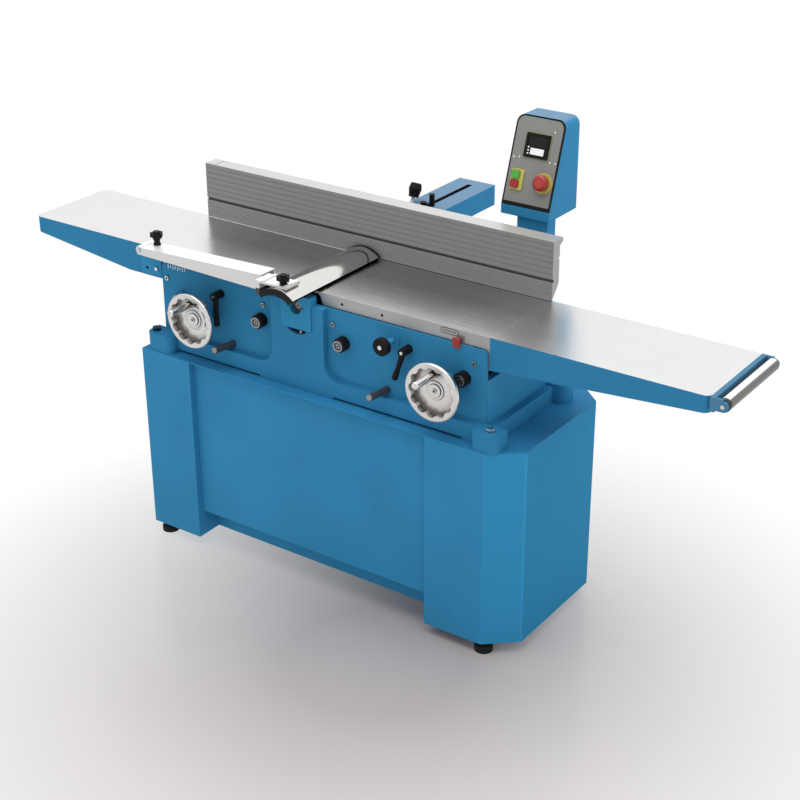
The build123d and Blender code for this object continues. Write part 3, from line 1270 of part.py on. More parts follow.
BLADE_HALF = 56.0
BLADE_EDGE_Z = 8.0
BLADE_CROWN_Z = 30.0
BLADE_THICK = 4.0
BLADE_FRONT = -117.0
BLADE_END_GAP = 12.0    # from the blade's rear end to the fence
CAP_LENGTH = 6.0
CAP_PROUD = 1.0
CAP_BAND = 16.0
blade_back = TABLE_WIDTH - BLADE_END_GAP
HEAD_FRONT = -100.0
HEAD_BACK = -42.0
HEAD_PLATE = 6.0
HEAD_GAP = 0.3
HEAD_RIGHT = 28.0
STAR_KNOB = (6.0, -85.0)
STAR_KNOB_TOP = 66.0
HEAD_SIDE_X = (-80.0, -66.0)
PAD_HALF = 24.0
PAD_GAP = 6.0           # from the pad to the inside of the blade
UNDER_SETBACK = 25.0    # of the lower plate behind the front of the head
UNDER_GAP = 4.0
RAIL_WIDTH = 8.0
RAIL_HEIGHT = 4.0
RAIL_INSET = (8.0, 10.0)
TONGUE_GAP = 5.0
TONGUE_OVERLAP = 20.0
TONGUE_HALF = 8.0
blade_rise = BLADE_CROWN_Z - BLADE_EDGE_Z
blade_radius = (BLADE_HALF ** 2 + blade_rise ** 2) / (2 * blade_rise)
blade_centre_z = BLADE_CROWN_Z - blade_radius
head_top = BLADE_CROWN_Z + HEAD_GAP + HEAD_PLATE


def blade_section(plane, depth, grow, thick):
    """Curved strip over the cutter. Grow adds to its outside and thick is measured inwards."""
    with BuildSketch(plane) as section:
        with Locations((0, blade_centre_z)):
            Circle(blade_radius + grow)
            Circle(blade_radius - thick, mode=Mode.SUBTRACT)
        with Locations((0, BLADE_EDGE_Z - grow + blade_rise)):
            Rectangle(4 * BLADE_HALF, 2 * blade_rise, mode=Mode.INTERSECT)
    extrude(section.sketch, amount=depth)


with BuildPart() as guard_blade:
    blade_length = blade_back - BLADE_FRONT - 2 * CAP_LENGTH
    blade_section(front_plane(blade_back - CAP_LENGTH), blade_length, 0.0, BLADE_THICK)
save(guard_blade, "guard_blade")

with BuildPart() as guard_end_caps:
    for back in (blade_back, BLADE_FRONT + CAP_LENGTH):
        blade_section(front_plane(back), CAP_LENGTH, CAP_PROUD, CAP_BAND)
save(guard_end_caps, "guard_end_caps")

with BuildPart() as guard_head:
    head_y = (HEAD_FRONT, HEAD_BACK)
    under_y = (HEAD_FRONT + UNDER_SETBACK, HEAD_BACK)
    under_top = BLADE_EDGE_Z - UNDER_GAP
    block(HEAD_SIDE_X, head_y, (under_top - HEAD_PLATE, head_top))
    block((HEAD_SIDE_X[0], HEAD_RIGHT), head_y, (head_top - HEAD_PLATE, head_top))
    block((HEAD_SIDE_X[0], PAD_HALF), under_y, (under_top - HEAD_PLATE, under_top))
    block((-PAD_HALF, PAD_HALF), under_y, (under_top, BLADE_CROWN_Z - BLADE_THICK - PAD_GAP))
    for rail_x in (HEAD_SIDE_X[1] + RAIL_INSET[0], HEAD_RIGHT - RAIL_INSET[1]):
        block((rail_x, rail_x + RAIL_WIDTH), head_y, (head_top, head_top + RAIL_HEIGHT))
    tongue = (ARM_FRONT + ARM_WALL + TONGUE_GAP, ARM_BACK - ARM_WALL - TONGUE_GAP)
    tongue_front = min(tongue[0], HEAD_BACK - TONGUE_OVERLAP)
    rod(front_plane(tongue[1]), head_pivot, 2 * HEAD_PIN, tongue[1] - tongue_front)
    tongue_z = (HEAD_PIVOT_Z - TONGUE_HALF, HEAD_PIVOT_Z + TONGUE_HALF)
    block((HEAD_PIVOT_X, HEAD_SIDE_X[1]), (tongue_front, HEAD_BACK), tongue_z)
    rod(front_plane(ARM_BACK + PIN_END), head_pivot, HEAD_PIN, ARM_BACK - ARM_FRONT + 2 * PIN_END)
    rod(level_plane(BLADE_CROWN_Z), [STAR_KNOB], STEM_RADIUS + RUN_FIT, 2 * HEAD_PLATE, mode=Mode.SUBTRACT)
save(guard_head, "guard_head")

with BuildPart() as guard_star_knob:
    star_knob(STAR_KNOB, BLADE_CROWN_Z + 2 * HEAD_GAP, head_top + KNOB_GAP, STAR_KNOB_TOP)
save(guard_star_knob, "guard_star_knob")

# Fence
FENCE_LEFT = -590.0
FENCE_RIGHT = 614.0
FENCE_SETBACK = 6.0     # the fence face stands this much inside the rear table edge
FENCE_LIFT = 0.8
FENCE_TOP = 168.0
FENCE_BODY = 33.0
FENCE_LIP = 49.0
FENCE_LIP_LOW = 158.0
FENCE_FRONT_WALL = 10.0
FENCE_WALL = 4.0
TOE_RISE = 42.0         # height of the sloping back over the table
CAP_LEFT = 37.0
CAP_RIGHT = 5.0
GROOVE_DEPTH = 1.0
GROOVE_HEIGHT = 2.0
groove_heights = [20.0, 36.0, 76.0, 92.0, 108.0, 124.0, 140.0, 155.0]
DEEP_GROOVE_Z = 58.0
DEEP_GROOVE_HEIGHT = 8.0
DEEP_GROOVE_DEPTH = 4.0
REAR_SLOT_Z = 114.0      # of the open slot along the back
REAR_SLOT_HEIGHT = 8.0
fence_front = TABLE_WIDTH - FENCE_SETBACK
lip_under = FENCE_LIP_LOW - (FENCE_LIP - FENCE_BODY) / 2
fence_outline = [
    (fence_front, FENCE_LIFT),
    (fence_front + FENCE_BODY, TOE_RISE),
    (fence_front + FENCE_BODY, lip_under),
    (fence_front + FENCE_LIP, FENCE_LIP_LOW),
    (fence_front + FENCE_LIP, FENCE_TOP),
    (fence_front, FENCE_TOP),
]
toe_slope = (TOE_RISE - FENCE_LIFT) / FENCE_BODY
core_front = fence_front + FENCE_FRONT_WALL
core_back = fence_front + FENCE_BODY - FENCE_WALL
fence_core = [
    (core_front, FENCE_LIFT + FENCE_FRONT_WALL * toe_slope + 2 * FENCE_WALL),
    (core_back, FENCE_LIFT + (FENCE_BODY - FENCE_WALL) * toe_slope + 2 * FENCE_WALL),
    (core_back, lip_under - FENCE_WALL),
    (core_front, lip_under - FENCE_WALL),
]
rail_start = FENCE_LEFT + CAP_LEFT
rail_length = FENCE_RIGHT - CAP_RIGHT - rail_start


def face_groove(middle, height, depth):
    """Groove along the fence face."""
    ends = (middle - height / 2, middle + height / 2)
    block((FENCE_LEFT, FENCE_RIGHT), (fence_front, fence_front + depth), ends, mode=Mode.SUBTRACT)


def fence_face():
    """All the grooves of the fence face and the slot in its back, over the whole length."""
    for height in groove_heights:
        face_groove(height, GROOVE_HEIGHT, GROOVE_DEPTH)
    face_groove(DEEP_GROOVE_Z, DEEP_GROOVE_HEIGHT, DEEP_GROOVE_DEPTH)
    slot_z = (REAR_SLOT_Z - REAR_SLOT_HEIGHT / 2, REAR_SLOT_Z + REAR_SLOT_HEIGHT / 2)
    block((FENCE_LEFT, FENCE_RIGHT), (core_back, fence_front + FENCE_BODY), slot_z, mode=Mode.SUBTRACT)


with BuildPart() as fence_rail:
    slab(side_plane(rail_start), fence_outline, rail_length)
    slab(side_plane(rail_start), fence_core, rail_length, mode=Mode.SUBTRACT)
    fence_face()
save(fence_rail, "fence_rail")

with BuildPart() as fence_end_caps:
    slab(side_plane(FENCE_LEFT), fence_outline, CAP_LEFT)
    slab(side_plane(FENCE_RIGHT - CAP_RIGHT), fence_outline, CAP_RIGHT)
    fence_face()
save(fence_end_caps, "fence_end_caps")

# Fence hinge and carriage
ARM_X = (5.0, 131.0)
ARM_TOP = 100.0
ARM_LOW = 38.0
ARM_SETBACK = 6.0       # from the rear of the cabinet to the front of the arm
ARM_LENGTH = 324.0
ARM_SKIN = 7.0
HINGE_SETBACK = 20.0    # behind the fence face
HINGE_Z = 12.0
KNUCKLE = 8.0
KNUCKLE_LENGTH = 30.0
HINGE_PIN = 4.0
SLOT_X = 68.0
SLOT_WIDTH = 12.0
SLOT_SETBACK = 29.0
SLOT_LENGTH = 260.0
STUD_SETBACK = 39.0
STUD_RADIUS = 5.5
TILT_KNOB_X = 20.0
TILT_KNOB_SETBACK = 51.0
TILT_KNOB_LEAN = 23.0   # degrees towards the rear
TILT_STEM = 6.0
CARRIAGE_LOW = 4.0
WEDGE_SETBACK = 32.0    # behind the fence face
WEDGE_RUN = 82.0
WEDGE_FOOT = 84.0
WEDGE_TOP = 84.0
WEDGE_STEP = 9.0
WEB_REACH = 4.0
WEB_RISE = 3.0
LUG_ON_SLOPE = (12.0, 34.0)
hinge_y = fence_front + HINGE_SETBACK
wedge_front = fence_front + WEDGE_SETBACK
arm_y = (cabinet_rear + ARM_SETBACK, cabinet_rear + ARM_SETBACK + ARM_LENGTH)
slot_middle = cabinet_rear + SLOT_SETBACK + SLOT_LENGTH / 2
stud_y = cabinet_rear + STUD_SETBACK
knob_lean = math.radians(TILT_KNOB_LEAN)
knob_axis = (0, math.sin(knob_lean), math.cos(knob_lean))
knob_y = cabinet_rear + TILT_KNOB_SETBACK - ARM_SKIN * math.tan(knob_lean)
knob_start = point(TILT_KNOB_X, knob_y, ARM_TOP - ARM_SKIN)
hinge_spot = [(hinge_y, HINGE_Z)]
lug_x = (ARM_X[0] + KNUCKLE_LENGTH + FREE_GAP, ARM_X[1] - KNUCKLE_LENGTH - FREE_GAP)
slope_angle = math.atan2(TOE_RISE - FENCE_LIFT, FENCE_BODY)


def on_toe_slope(distance):
    """Point on the fence's sloping back, so far from its toe."""
    return (fence_front + distance * math.cos(slope_angle), FENCE_LIFT + distance * math.sin(slope_angle))


with BuildPart() as fence_hinge:
    run = (KNUCKLE * math.cos(slope_angle), KNUCKLE * math.sin(slope_angle))
    lug = [
        on_toe_slope(LUG_ON_SLOPE[0]),
        (hinge_y - run[0], HINGE_Z - run[1]),
        (hinge_y + run[0], HINGE_Z + run[1]),
        on_toe_slope(LUG_ON_SLOPE[1]),
    ]
    slab(side_plane(lug_x[0]), lug, lug_x[1] - lug_x[0])
    rod(side_plane(lug_x[0]), hinge_spot, KNUCKLE, lug_x[1] - lug_x[0])
    rod(side_plane(ARM_X[0]), hinge_spot, HINGE_PIN, ARM_X[1] - ARM_X[0])
save(fence_hinge, "fence_hinge")

with BuildPart() as fence_arm:
    block(ARM_X, arm_y, (ARM_LOW, ARM_TOP))
    block(
        (ARM_X[0] + ARM_SKIN, ARM_X[1] - ARM_SKIN),
        (arm_y[0] + 2 * ARM_SKIN, arm_y[1] - ARM_SKIN),
        (ARM_LOW, ARM_TOP - ARM_SKIN),
        mode=Mode.SUBTRACT,
    )
    wedge = [
        (wedge_front, CARRIAGE_LOW),
        (wedge_front + WEDGE_RUN, WEDGE_TOP),
        (arm_y[0] - WEDGE_STEP, WEDGE_TOP),
        (arm_y[0], ARM_TOP),
        (arm_y[0], ARM_LOW),
        (cabinet_rear - WEDGE_STEP, ARM_LOW),
        (wedge_front + WEDGE_FOOT, CARRIAGE_LOW),
    ]
    slab(side_plane(ARM_X[0]), wedge, ARM_X[1] - ARM_X[0])
    knuckle_web = [
        (hinge_y, CARRIAGE_LOW),
        (wedge_front + WEB_REACH, CARRIAGE_LOW),
        (wedge_front + WEB_REACH, CARRIAGE_LOW + WEB_RISE),
        (hinge_y, HINGE_Z + KNUCKLE),
    ]
    for start in (ARM_X[0], ARM_X[1] - KNUCKLE_LENGTH):
        slab(side_plane(start), knuckle_web, KNUCKLE_LENGTH)
        rod(side_plane(start), hinge_spot, KNUCKLE, KNUCKLE_LENGTH)
    rod(side_plane(ARM_X[0]), hinge_spot, HINGE_PIN + RUN_FIT, ARM_X[1] - ARM_X[0], mode=Mode.SUBTRACT)
    with BuildSketch(level_plane(ARM_TOP - ARM_SKIN)) as arm_slot:
        with Locations((SLOT_X, slot_middle)):
            SlotOverall(SLOT_LENGTH, SLOT_WIDTH, rotation=90)
    extrude(arm_slot.sketch, amount=ARM_SKIN, mode=Mode.SUBTRACT)
    stem_hole = [
        (0, -ARM_SKIN),
        (TILT_STEM + RUN_FIT, -ARM_SKIN),
        (TILT_STEM + RUN_FIT, 3 * ARM_SKIN),
        (0, 3 * ARM_SKIN),
    ]
    turned(knob_start, knob_axis, stem_hole, mode=Mode.SUBTRACT)
save(fence_arm, "fence_arm")

TILT_BARREL = 19.0
TILT_BARREL_FOOT = 14.0
TILT_BARREL_TOP = 16.0
TILT_STEM_LENGTH = 18.0
TILT_FLARE_LENGTH = 26.0
TILT_TAPER_LENGTH = 14.0
TILT_END = 3.0
with BuildPart() as tilt_knob:
    barrel_foot = ARM_SKIN / math.cos(knob_lean) + TILT_STEM_LENGTH
    barrel_widest = barrel_foot + TILT_FLARE_LENGTH
    barrel_top = barrel_widest + TILT_TAPER_LENGTH
    tilt_profile = [
        (0, 0),
        (TILT_STEM, 0),
        (TILT_STEM, barrel_foot),
        (TILT_BARREL_FOOT, barrel_foot),
        (TILT_BARREL, barrel_widest),
        (TILT_BARREL_TOP, barrel_top),
        (TILT_BARREL_TOP - TILT_END, barrel_top + TILT_END),
        (0, barrel_top + TILT_END),
    ]
    turned(knob_start, knob_axis, tilt_profile)
save(tilt_knob, "tilt_knob")

SUPPORT_X = (20.0, 116.0)
SUPPORT_DEPTH = 96.0
SUPPORT_LOW = -420.0
SUPPORT_WALL = 6.0
stud_spot = [(SLOT_X, stud_y)]
support_top = ARM_LOW - SLIDE_GAP
LEVER_HUB_RADIUS = 9.0
LEVER_HUB_HEIGHT = 18.0
STUD_SHORT = 5.0        # the stud ends this far inside the hub
stud_top = ARM_TOP + LEVER_HUB_HEIGHT - STUD_SHORT
with BuildPart() as fence_support:
    support_y = (cabinet_rear, cabinet_rear + SUPPORT_DEPTH)
    block(SUPPORT_X, support_y, (SUPPORT_LOW, support_top))
    block(
        (SUPPORT_X[0] + SUPPORT_WALL, SUPPORT_X[1] - SUPPORT_WALL),
        (support_y[0] + SUPPORT_WALL, support_y[1] - SUPPORT_WALL),
        (SUPPORT_LOW, support_top - 2 * SUPPORT_WALL),
        mode=Mode.SUBTRACT,
    )
    rod(level_plane(support_top), stud_spot, STUD_RADIUS, stud_top - support_top)
save(fence_support, "fence_support")

FENCE_GRIP_X = 91.0
FENCE_GRIP_SETBACK = 50.0
FENCE_GRIP_RADIUS = 8.0
FENCE_GRIP_TOP = 143.0
LEVER_BAR_RADIUS = 7.0
LEVER_BAR_LIFT = 6.0
LEVER_BAR_THICK = 8.0
grip_spot = (FENCE_GRIP_X, cabinet_rear + FENCE_GRIP_SETBACK)
with BuildPart() as fence_lever:
    hub_low = ARM_TOP + 2 * SLIDE_GAP
    rod(level_plane(hub_low), stud_spot, LEVER_HUB_RADIUS, LEVER_HUB_HEIGHT)
    with BuildSketch(level_plane(hub_low + LEVER_BAR_LIFT)) as lever_bar:
        with Locations(stud_spot[0]):
            Circle(LEVER_BAR_RADIUS)
        with Locations(grip_spot):
            Circle(LEVER_BAR_RADIUS)
        make_hull()
    extrude(lever_bar.sketch, amount=LEVER_BAR_THICK)
    grip_low = hub_low + LEVER_BAR_THICK
    rod(level_plane(grip_low), [grip_spot], FENCE_GRIP_RADIUS, FENCE_GRIP_TOP - grip_low)
    stud_hole_depth = stud_top - hub_low + FREE_GAP
    rod(level_plane(hub_low), stud_spot, STUD_RADIUS + RUN_FIT, stud_hole_depth, mode=Mode.SUBTRACT)
save(fence_lever, "fence_lever")

# Control box on its post
BOX_X = (360.0, 512.5)
BOX_LOW = 157.6
BOX_LIP_OVERHANG = 9.0  # in front of the rear of the cabinet
BOX_LIP_TOP = 186.0
BOX_TOP_SETBACK = 71.6  # behind the rear of the cabinet
BOX_TOP_Z = 422.8
BOX_REAR_SETBACK = 142.0
BOX_WALL = 3.0
BOX_ROUND = 25.0
WINDOW_SIDE = 9.0
WINDOW_END = 15.0
WINDOW_DEPTH = 12.0
PLATE_SIDE = 4.0        # from the edges of the face to the control plate
PLATE_FOOT = 10.0
PLATE_ROUND = 22.0
PLATE_THICK = 4.0
POST_X = (408.0, 504.0)
POST_DEPTH = 44.0
POST_LOW = -520.0
POST_WALL = 4.0
box_lip_y = cabinet_rear - BOX_LIP_OVERHANG
box_top_y = cabinet_rear + BOX_TOP_SETBACK
box_rear_y = cabinet_rear + BOX_REAR_SETBACK
face_length = math.hypot(box_top_y - box_lip_y, BOX_TOP_Z - BOX_LIP_TOP)
face_up = ((box_top_y - box_lip_y) / face_length, (BOX_TOP_Z - BOX_LIP_TOP) / face_length)
face_out = (-face_up[1], face_up[0])
box_width = BOX_X[1] - BOX_X[0]


def face_plane(height):
    """Plane on the sloping control face: X across, Y up the slope, from its lower left corner."""
    corner = point(BOX_X[0], box_lip_y + face_out[0] * height, BOX_LIP_TOP + face_out[1] * height)
    return Plane(origin=corner, x_dir=(1, 0, 0), z_dir=(0, face_out[0], face_out[1]))


with BuildPart() as control_post:
    post_y = (cabinet_rear, cabinet_rear + POST_DEPTH)
    block(POST_X, post_y, (POST_LOW, BOX_LOW))
    block(
        (POST_X[0] + POST_WALL, POST_X[1] - POST_WALL),
        (post_y[0] + POST_WALL, post_y[1] - POST_WALL),
        (POST_LOW, BOX_LOW - POST_WALL),
        mode=Mode.SUBTRACT,
    )
save(control_post, "control_post")

with BuildPart() as control_box:
    inset = (-face_out[0] * PLATE_THICK, -face_out[1] * PLATE_THICK)
    seat_low = (box_lip_y + inset[0], BOX_LIP_TOP + inset[1])
    seat_high = (box_top_y + inset[0], BOX_TOP_Z + inset[1])
    box_outline = [
        (box_lip_y, BOX_LOW),
        (box_lip_y, BOX_LIP_TOP + inset[1]),
        seat_low,
        seat_high,
        (box_rear_y, BOX_TOP_Z + inset[1]),
        (box_rear_y, BOX_LOW),
    ]
    slab(side_plane(BOX_X[0]), box_outline, box_width)
    fillet(control_box.edges().filter_by(Axis.Y).group_by(Axis.Z)[-1], BOX_ROUND)
    core_top = seat_high[1] - BOX_ROUND
    core_run = BOX_ROUND * face_up[0] / face_up[1]
    box_core = [
        (box_lip_y + BOX_WALL + inset[0], BOX_LOW + BOX_WALL),
        (seat_low[0] + BOX_WALL, seat_low[1] + BOX_WALL),
        (seat_high[0] + BOX_WALL - core_run, core_top),
        (box_rear_y - BOX_WALL, core_top),
        (box_rear_y - BOX_WALL, BOX_LOW + BOX_WALL),
    ]
    slab(side_plane(BOX_X[0] + BOX_WALL), box_core, box_width - 2 * BOX_WALL, mode=Mode.SUBTRACT)
    with BuildSketch(face_plane(-PLATE_THICK)) as window:
        with Locations((box_width / 2, face_length / 2)):
            Rectangle(box_width - 2 * WINDOW_SIDE, face_length - 2 * WINDOW_END)
    extrude(window.sketch, amount=-WINDOW_DEPTH, mode=Mode.SUBTRACT)
save(control_box, "control_box")

START_SPOT = (31.0, 85.0)
STOP_SPOT = (31.0, 59.0)
BUTTON_WIDTH = 24.0
BUTTON_HEIGHT = 21.0
BUTTON_ROUND = 4.0
BUTTON_PROUD = 8.0
BUTTON_TAIL = 6.0
ESTOP_SPOT = (118.0, 74.0)
ESTOP_RADIUS = 22.0
ESTOP_STEM = 8.0
DISPLAY_U = (41.0, 117.0)
DISPLAY_V = (136.0, 203.0)
DISPLAY_THICK = 4.0
DISPLAY_ROUND = 3.0
SCREEN_SIDE = 8.0
SCREEN_END = 7.0
SCREEN_DEPTH = 1.5
with BuildPart() as control_plate:
    with BuildSketch(face_plane(-PLATE_THICK)) as plate_shape:
        plate_height = face_length - PLATE_FOOT - PLATE_SIDE
        with Locations((box_width / 2, PLATE_FOOT + plate_height / 2)):
            Rectangle(box_width - 2 * PLATE_SIDE, plate_height)
        fillet(plate_shape.vertices().group_by(Axis.Y)[-1], PLATE_ROUND)
        with Locations(START_SPOT, STOP_SPOT):
            button_slot = (BUTTON_WIDTH + 2 * SLIDE_GAP, BUTTON_HEIGHT + 2 * SLIDE_GAP)
            RectangleRounded(button_slot[0], button_slot[1], BUTTON_ROUND + SLIDE_GAP, mode=Mode.SUBTRACT)
        with Locations(ESTOP_SPOT):
            Circle(ESTOP_STEM + RUN_FIT, mode=Mode.SUBTRACT)
    extrude(plate_shape.sketch, amount=PLATE_THICK)
save(control_plate, "control_plate")

with BuildPart() as display_unit:
    display_middle = (sum(DISPLAY_U) / 2, sum(DISPLAY_V) / 2)
    display_size = (DISPLAY_U[1] - DISPLAY_U[0], DISPLAY_V[1] - DISPLAY_V[0])
    with BuildSketch(face_plane(0)) as bezel:
        with Locations(display_middle):
            RectangleRounded(display_size[0], display_size[1], DISPLAY_ROUND)
    extrude(bezel.sketch, amount=DISPLAY_THICK)
    with BuildSketch(face_plane(DISPLAY_THICK)) as screen:
        with Locations(display_middle):
            Rectangle(display_size[0] - 2 * SCREEN_SIDE, display_size[1] - 2 * SCREEN_END)
    extrude(screen.sketch, amount=-SCREEN_DEPTH, mode=Mode.SUBTRACT)
save(display_unit, "display_unit")


def push_button(spot):
    """Push button with a flange inside the box that stops it falling out."""
    with BuildSketch(face_plane(-PLATE_THICK - BUTTON_TAIL)) as cap:
        with Locations(spot):
            RectangleRounded(BUTTON_WIDTH, BUTTON_HEIGHT, BUTTON_ROUND)
    extrude(cap.sketch, amount=PLATE_THICK + BUTTON_TAIL + BUTTON_PROUD)


with BuildPart() as start_button:
    push_button(START_SPOT)
save(start_button, "start_button")

with BuildPart() as stop_button:
    push_button(STOP_SPOT)
save(stop_button, "stop_button")

ESTOP_TAIL = 8.0
ESTOP_NECK = 9.0
ESTOP_PROUD = 28.0
ESTOP_EDGE = 2.0
ESTOP_SHOULDER = 3.0
ESTOP_DOME = 6.0
with BuildPart() as estop_button:
    tail = PLATE_THICK + ESTOP_TAIL
    estop_profile = [
        (0, 0),
        (ESTOP_STEM, 0),
        (ESTOP_STEM, tail + ESTOP_NECK),
        (ESTOP_RADIUS - ESTOP_EDGE, tail + ESTOP_NECK),
        (ESTOP_RADIUS, tail + ESTOP_NECK + ESTOP_SHOULDER),
        (ESTOP_RADIUS, tail + ESTOP_PROUD - ESTOP_DOME),
        (ESTOP_RADIUS - ESTOP_DOME, tail + ESTOP_PROUD),
        (0, tail + ESTOP_PROUD),
    ]
    stem_start = face_plane(-tail).from_local_coords(Vector(ESTOP_SPOT[0], ESTOP_SPOT[1], 0))
    turned(tuple(stem_start), (0, face_out[0], face_out[1]), estop_profile)
save(estop_button, "estop_button")
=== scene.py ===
import math

import bpy
from mathutils import Matrix, Vector


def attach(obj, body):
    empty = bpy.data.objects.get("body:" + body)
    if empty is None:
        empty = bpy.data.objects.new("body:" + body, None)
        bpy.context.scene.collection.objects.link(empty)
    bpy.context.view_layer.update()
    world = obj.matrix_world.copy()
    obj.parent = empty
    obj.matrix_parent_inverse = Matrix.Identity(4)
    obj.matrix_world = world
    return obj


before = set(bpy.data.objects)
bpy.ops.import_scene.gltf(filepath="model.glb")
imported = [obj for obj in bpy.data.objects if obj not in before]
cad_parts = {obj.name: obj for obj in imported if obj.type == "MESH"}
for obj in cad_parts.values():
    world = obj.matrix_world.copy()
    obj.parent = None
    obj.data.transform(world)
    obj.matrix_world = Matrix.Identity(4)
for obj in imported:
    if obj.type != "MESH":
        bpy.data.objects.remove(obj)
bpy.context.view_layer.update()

# Machine's datum in the shared frame: the cutter axis, the tables' front edge and the tables' top, in metres
MM = 0.001
CUTTER_X = -0.1175
TABLE_FRONT = -0.301
TABLE_HEIGHT = 0.915

# Camera, as fitted to the photograph
CAMERA_PLACE = (2.4763, -3.5337, 2.5877)
CAMERA_AZIMUTH = 35.06
CAMERA_ELEVATION = 25.99
CAMERA_ROLL = -0.25
CAMERA_LENS = 73.5

# Light and stage
SKY_LIGHT = 0.72
HORIZON_GLOSS = 0.7
SKY_GLOSS = 1.2
GLOSS_RISE = 0.3
TOP_LIGHT_POWER = 95.0
TOP_LIGHT_SIZE = 4.0
TOP_LIGHT_PLACE = (0.0, -0.4, 4.2)
FLOOR_HALF = 14.0
FLOOR_MIDDLE = (0.3, -0.55, 0.0)
FLOOR_FADE = (0.25, 1.5)
FLOOR_GREY = (0.51, 0.462, 0.452)
FLOOR_ROUGH = 0.2
FLOOR_SHINE = 0.3

# Colours, linear
BLUE = (0.038, 0.252, 0.476)
MUTED_BLUE = (0.075, 0.21, 0.345)
DEEP_BLUE = (0.012, 0.05, 0.095)
PALE_BLUE = (0.038, 0.262, 0.485)
# The next two are painted light and shade: a lighter cut face and a shaded side face of the right column
CUT_HIGHLIGHT_BLUE = (0.038, 0.286, 0.54)
SIDE_SHADE_BLUE = (0.021, 0.248, 0.474)
# The next colour is a painted sheen of light from above, on the top faces of the control box and the fence
# arm
TOP_SHEEN_BLUE = (0.145, 0.26, 0.385)
GROUND_METAL = (0.7, 0.7, 0.696)
ANODISED = (0.228, 0.228, 0.225)
# The next colour is a painted highlight on the fence's top
TOP_HIGHLIGHT_GREY = (0.55, 0.55, 0.54)
ALLOY = (0.66, 0.648, 0.635)
SATIN = (0.68, 0.67, 0.66)
# The next colour is a painted highlight on the top faces of the guard's alloy
SATIN_TOP_HIGHLIGHT = (0.93, 0.93, 0.92)
STEEL = (0.62, 0.62, 0.61)
ROLLER_GREY = (0.16, 0.16, 0.157)
# The next colour is painted shade on the roller's front end, beside the near bracket ear
ROLLER_END_SHADE = (0.02, 0.035, 0.04)
DARK_STEEL = (0.05, 0.052, 0.056)
DULL_STEEL = (0.27, 0.27, 0.28)
BLACK = (0.008, 0.008, 0.009)
RUBBER_BLACK = (0.008, 0.008, 0.008)
# The next black is painted shadow under the guard blade's edges
PAINTED_SHADOW_BLACK = (0.002, 0.002, 0.002)
PLATE_GREY = (0.235, 0.235, 0.225)
DARK_GLASS = (0.016, 0.016, 0.017)
RED = (0.31, 0.02, 0.018)
PALE_RED = (0.36, 0.035, 0.036)
GREEN = (0.07, 0.36, 0.05)
YELLOW = (0.46, 0.39, 0.085)
OLIVE = (0.24, 0.25, 0.1)
WHITE = (0.85, 0.85, 0.84)
PALE_GREY = (0.14, 0.14, 0.138)
SHADE_GREY = (0.1, 0.092, 0.085)
BLACK_SHINE = 0.1

# Tones of parts of a surface, as shares of its colour, and the turn of the faces that have them
EDGE_HIGHLIGHT_TONE = 1.8          # of a painted highlight along an edge
BASE_SHADE_TONE = 0.86         # of the base casting's paint, darker as painted shade under the tables
EXTENSION_SHADE_TONE = 0.83      # of the extensions' paint, darker as painted shade
SIDE_SHADE_TONE = 0.58         # of a table's front edge beside its top, darker as painted shade
SIDE_ROUGH = 0.25        # added to the roughness of that edge
FENCE_REFLECTION_TONE = 0.75        # of a table towards the fence, a painted reflection of the dark fence
RIB_HIGHLIGHT_TONE = 1.16          # of the fence on its ribs, a painted highlight along them
RIGHT_END_TONE = 0.72         # of the fence, darker towards its right end
FENCE_END_HIGHLIGHT_TONE = 1.7     # of the faces at that end that look towards +X, a painted highlight
# Painted shade inside the fence's deep groove
GROOVE_SHADE_TONE = 0.25
BEND_HIGHLIGHTS = (0.06, 0.32)       # strength of the two painted highlight lines along the right column's cut
CUT_FACING = 0.5                 # least share of a cut face's normal along X
ROLLER_HIGHLIGHT_SPAN = (0.81, 0.87)     # share of the normal along Z over which the painted highlight on the roller comes in

# Where such parts begin and end, in millimetres from the datum
# The next two bound the painted reflection of the fence on the tables
FENCE_REFLECTION_DEPTH = (40.0, 170.0)
FENCE_REFLECTION_ENDS = ((-520.0, -300.0), (610.0, 400.0))
LEFT_BOLTS_TO = -400.0
LEFT_BOLTS_BELOW = -180.0
# Screws and pins between these places, and above this height, are dulled as painted shade
SHADED_SCREWS = (-450.0, 540.0)
SHADED_SCREWS_ABOVE = -150.0
# Below this height the guard head is painted dark, as shade under it
HEAD_SHADE_BELOW = 14.0
LOCK_NECK_Y = -49.0
# The roller is painted dark up to here from its front end, as shade
ROLLER_END_SHADE_END = 20.0
SEAL_CHANGE_X = -60.0
BEND_WIDTH = 4.5

# Heights of the thin pieces above the face that they sit on, in millimetres
MARK_RISE = 0.3
SKIN_RISE = 0.4
SOCKET_RISE = 0.5
BUTTON_RISE = 0.6
CAP_RISE = 0.8
SCREW_RISE = 1.0
BOLT_RISE = 1.5
SURROUND_RISE = 3.0

# Fence: its sizes, the seam of its end cap, the sealing strips under its toe, its deep groove and its ribs
FENCE_ENDS = (-590.0, 614.0)
FENCE_SEAM_X = -553.0
FENCE_FACE_Y = 294.0
FENCE_TOP = 168.0
FENCE_DEPTH = 46.0
SEAM_HALF = 0.9
SEAL_INSET = 2.0
LEFT_SEAL_Z = (0.9, 2.6)
RIGHT_SEAL_Z = (0.45, 2.5)
RIGHT_SEAL_DEPTH = 3.0
TOE_RECESS = 3.3
GROOVE_Z = 58.0
GROOVE_HALF = 4.2
GROOVE_DEPTH = (0.3, 6.0)
RIB_PITCH = 16.0

# Right column: its cut corner, across and in depth
CORNER_CUT = (86.0, 75.0)

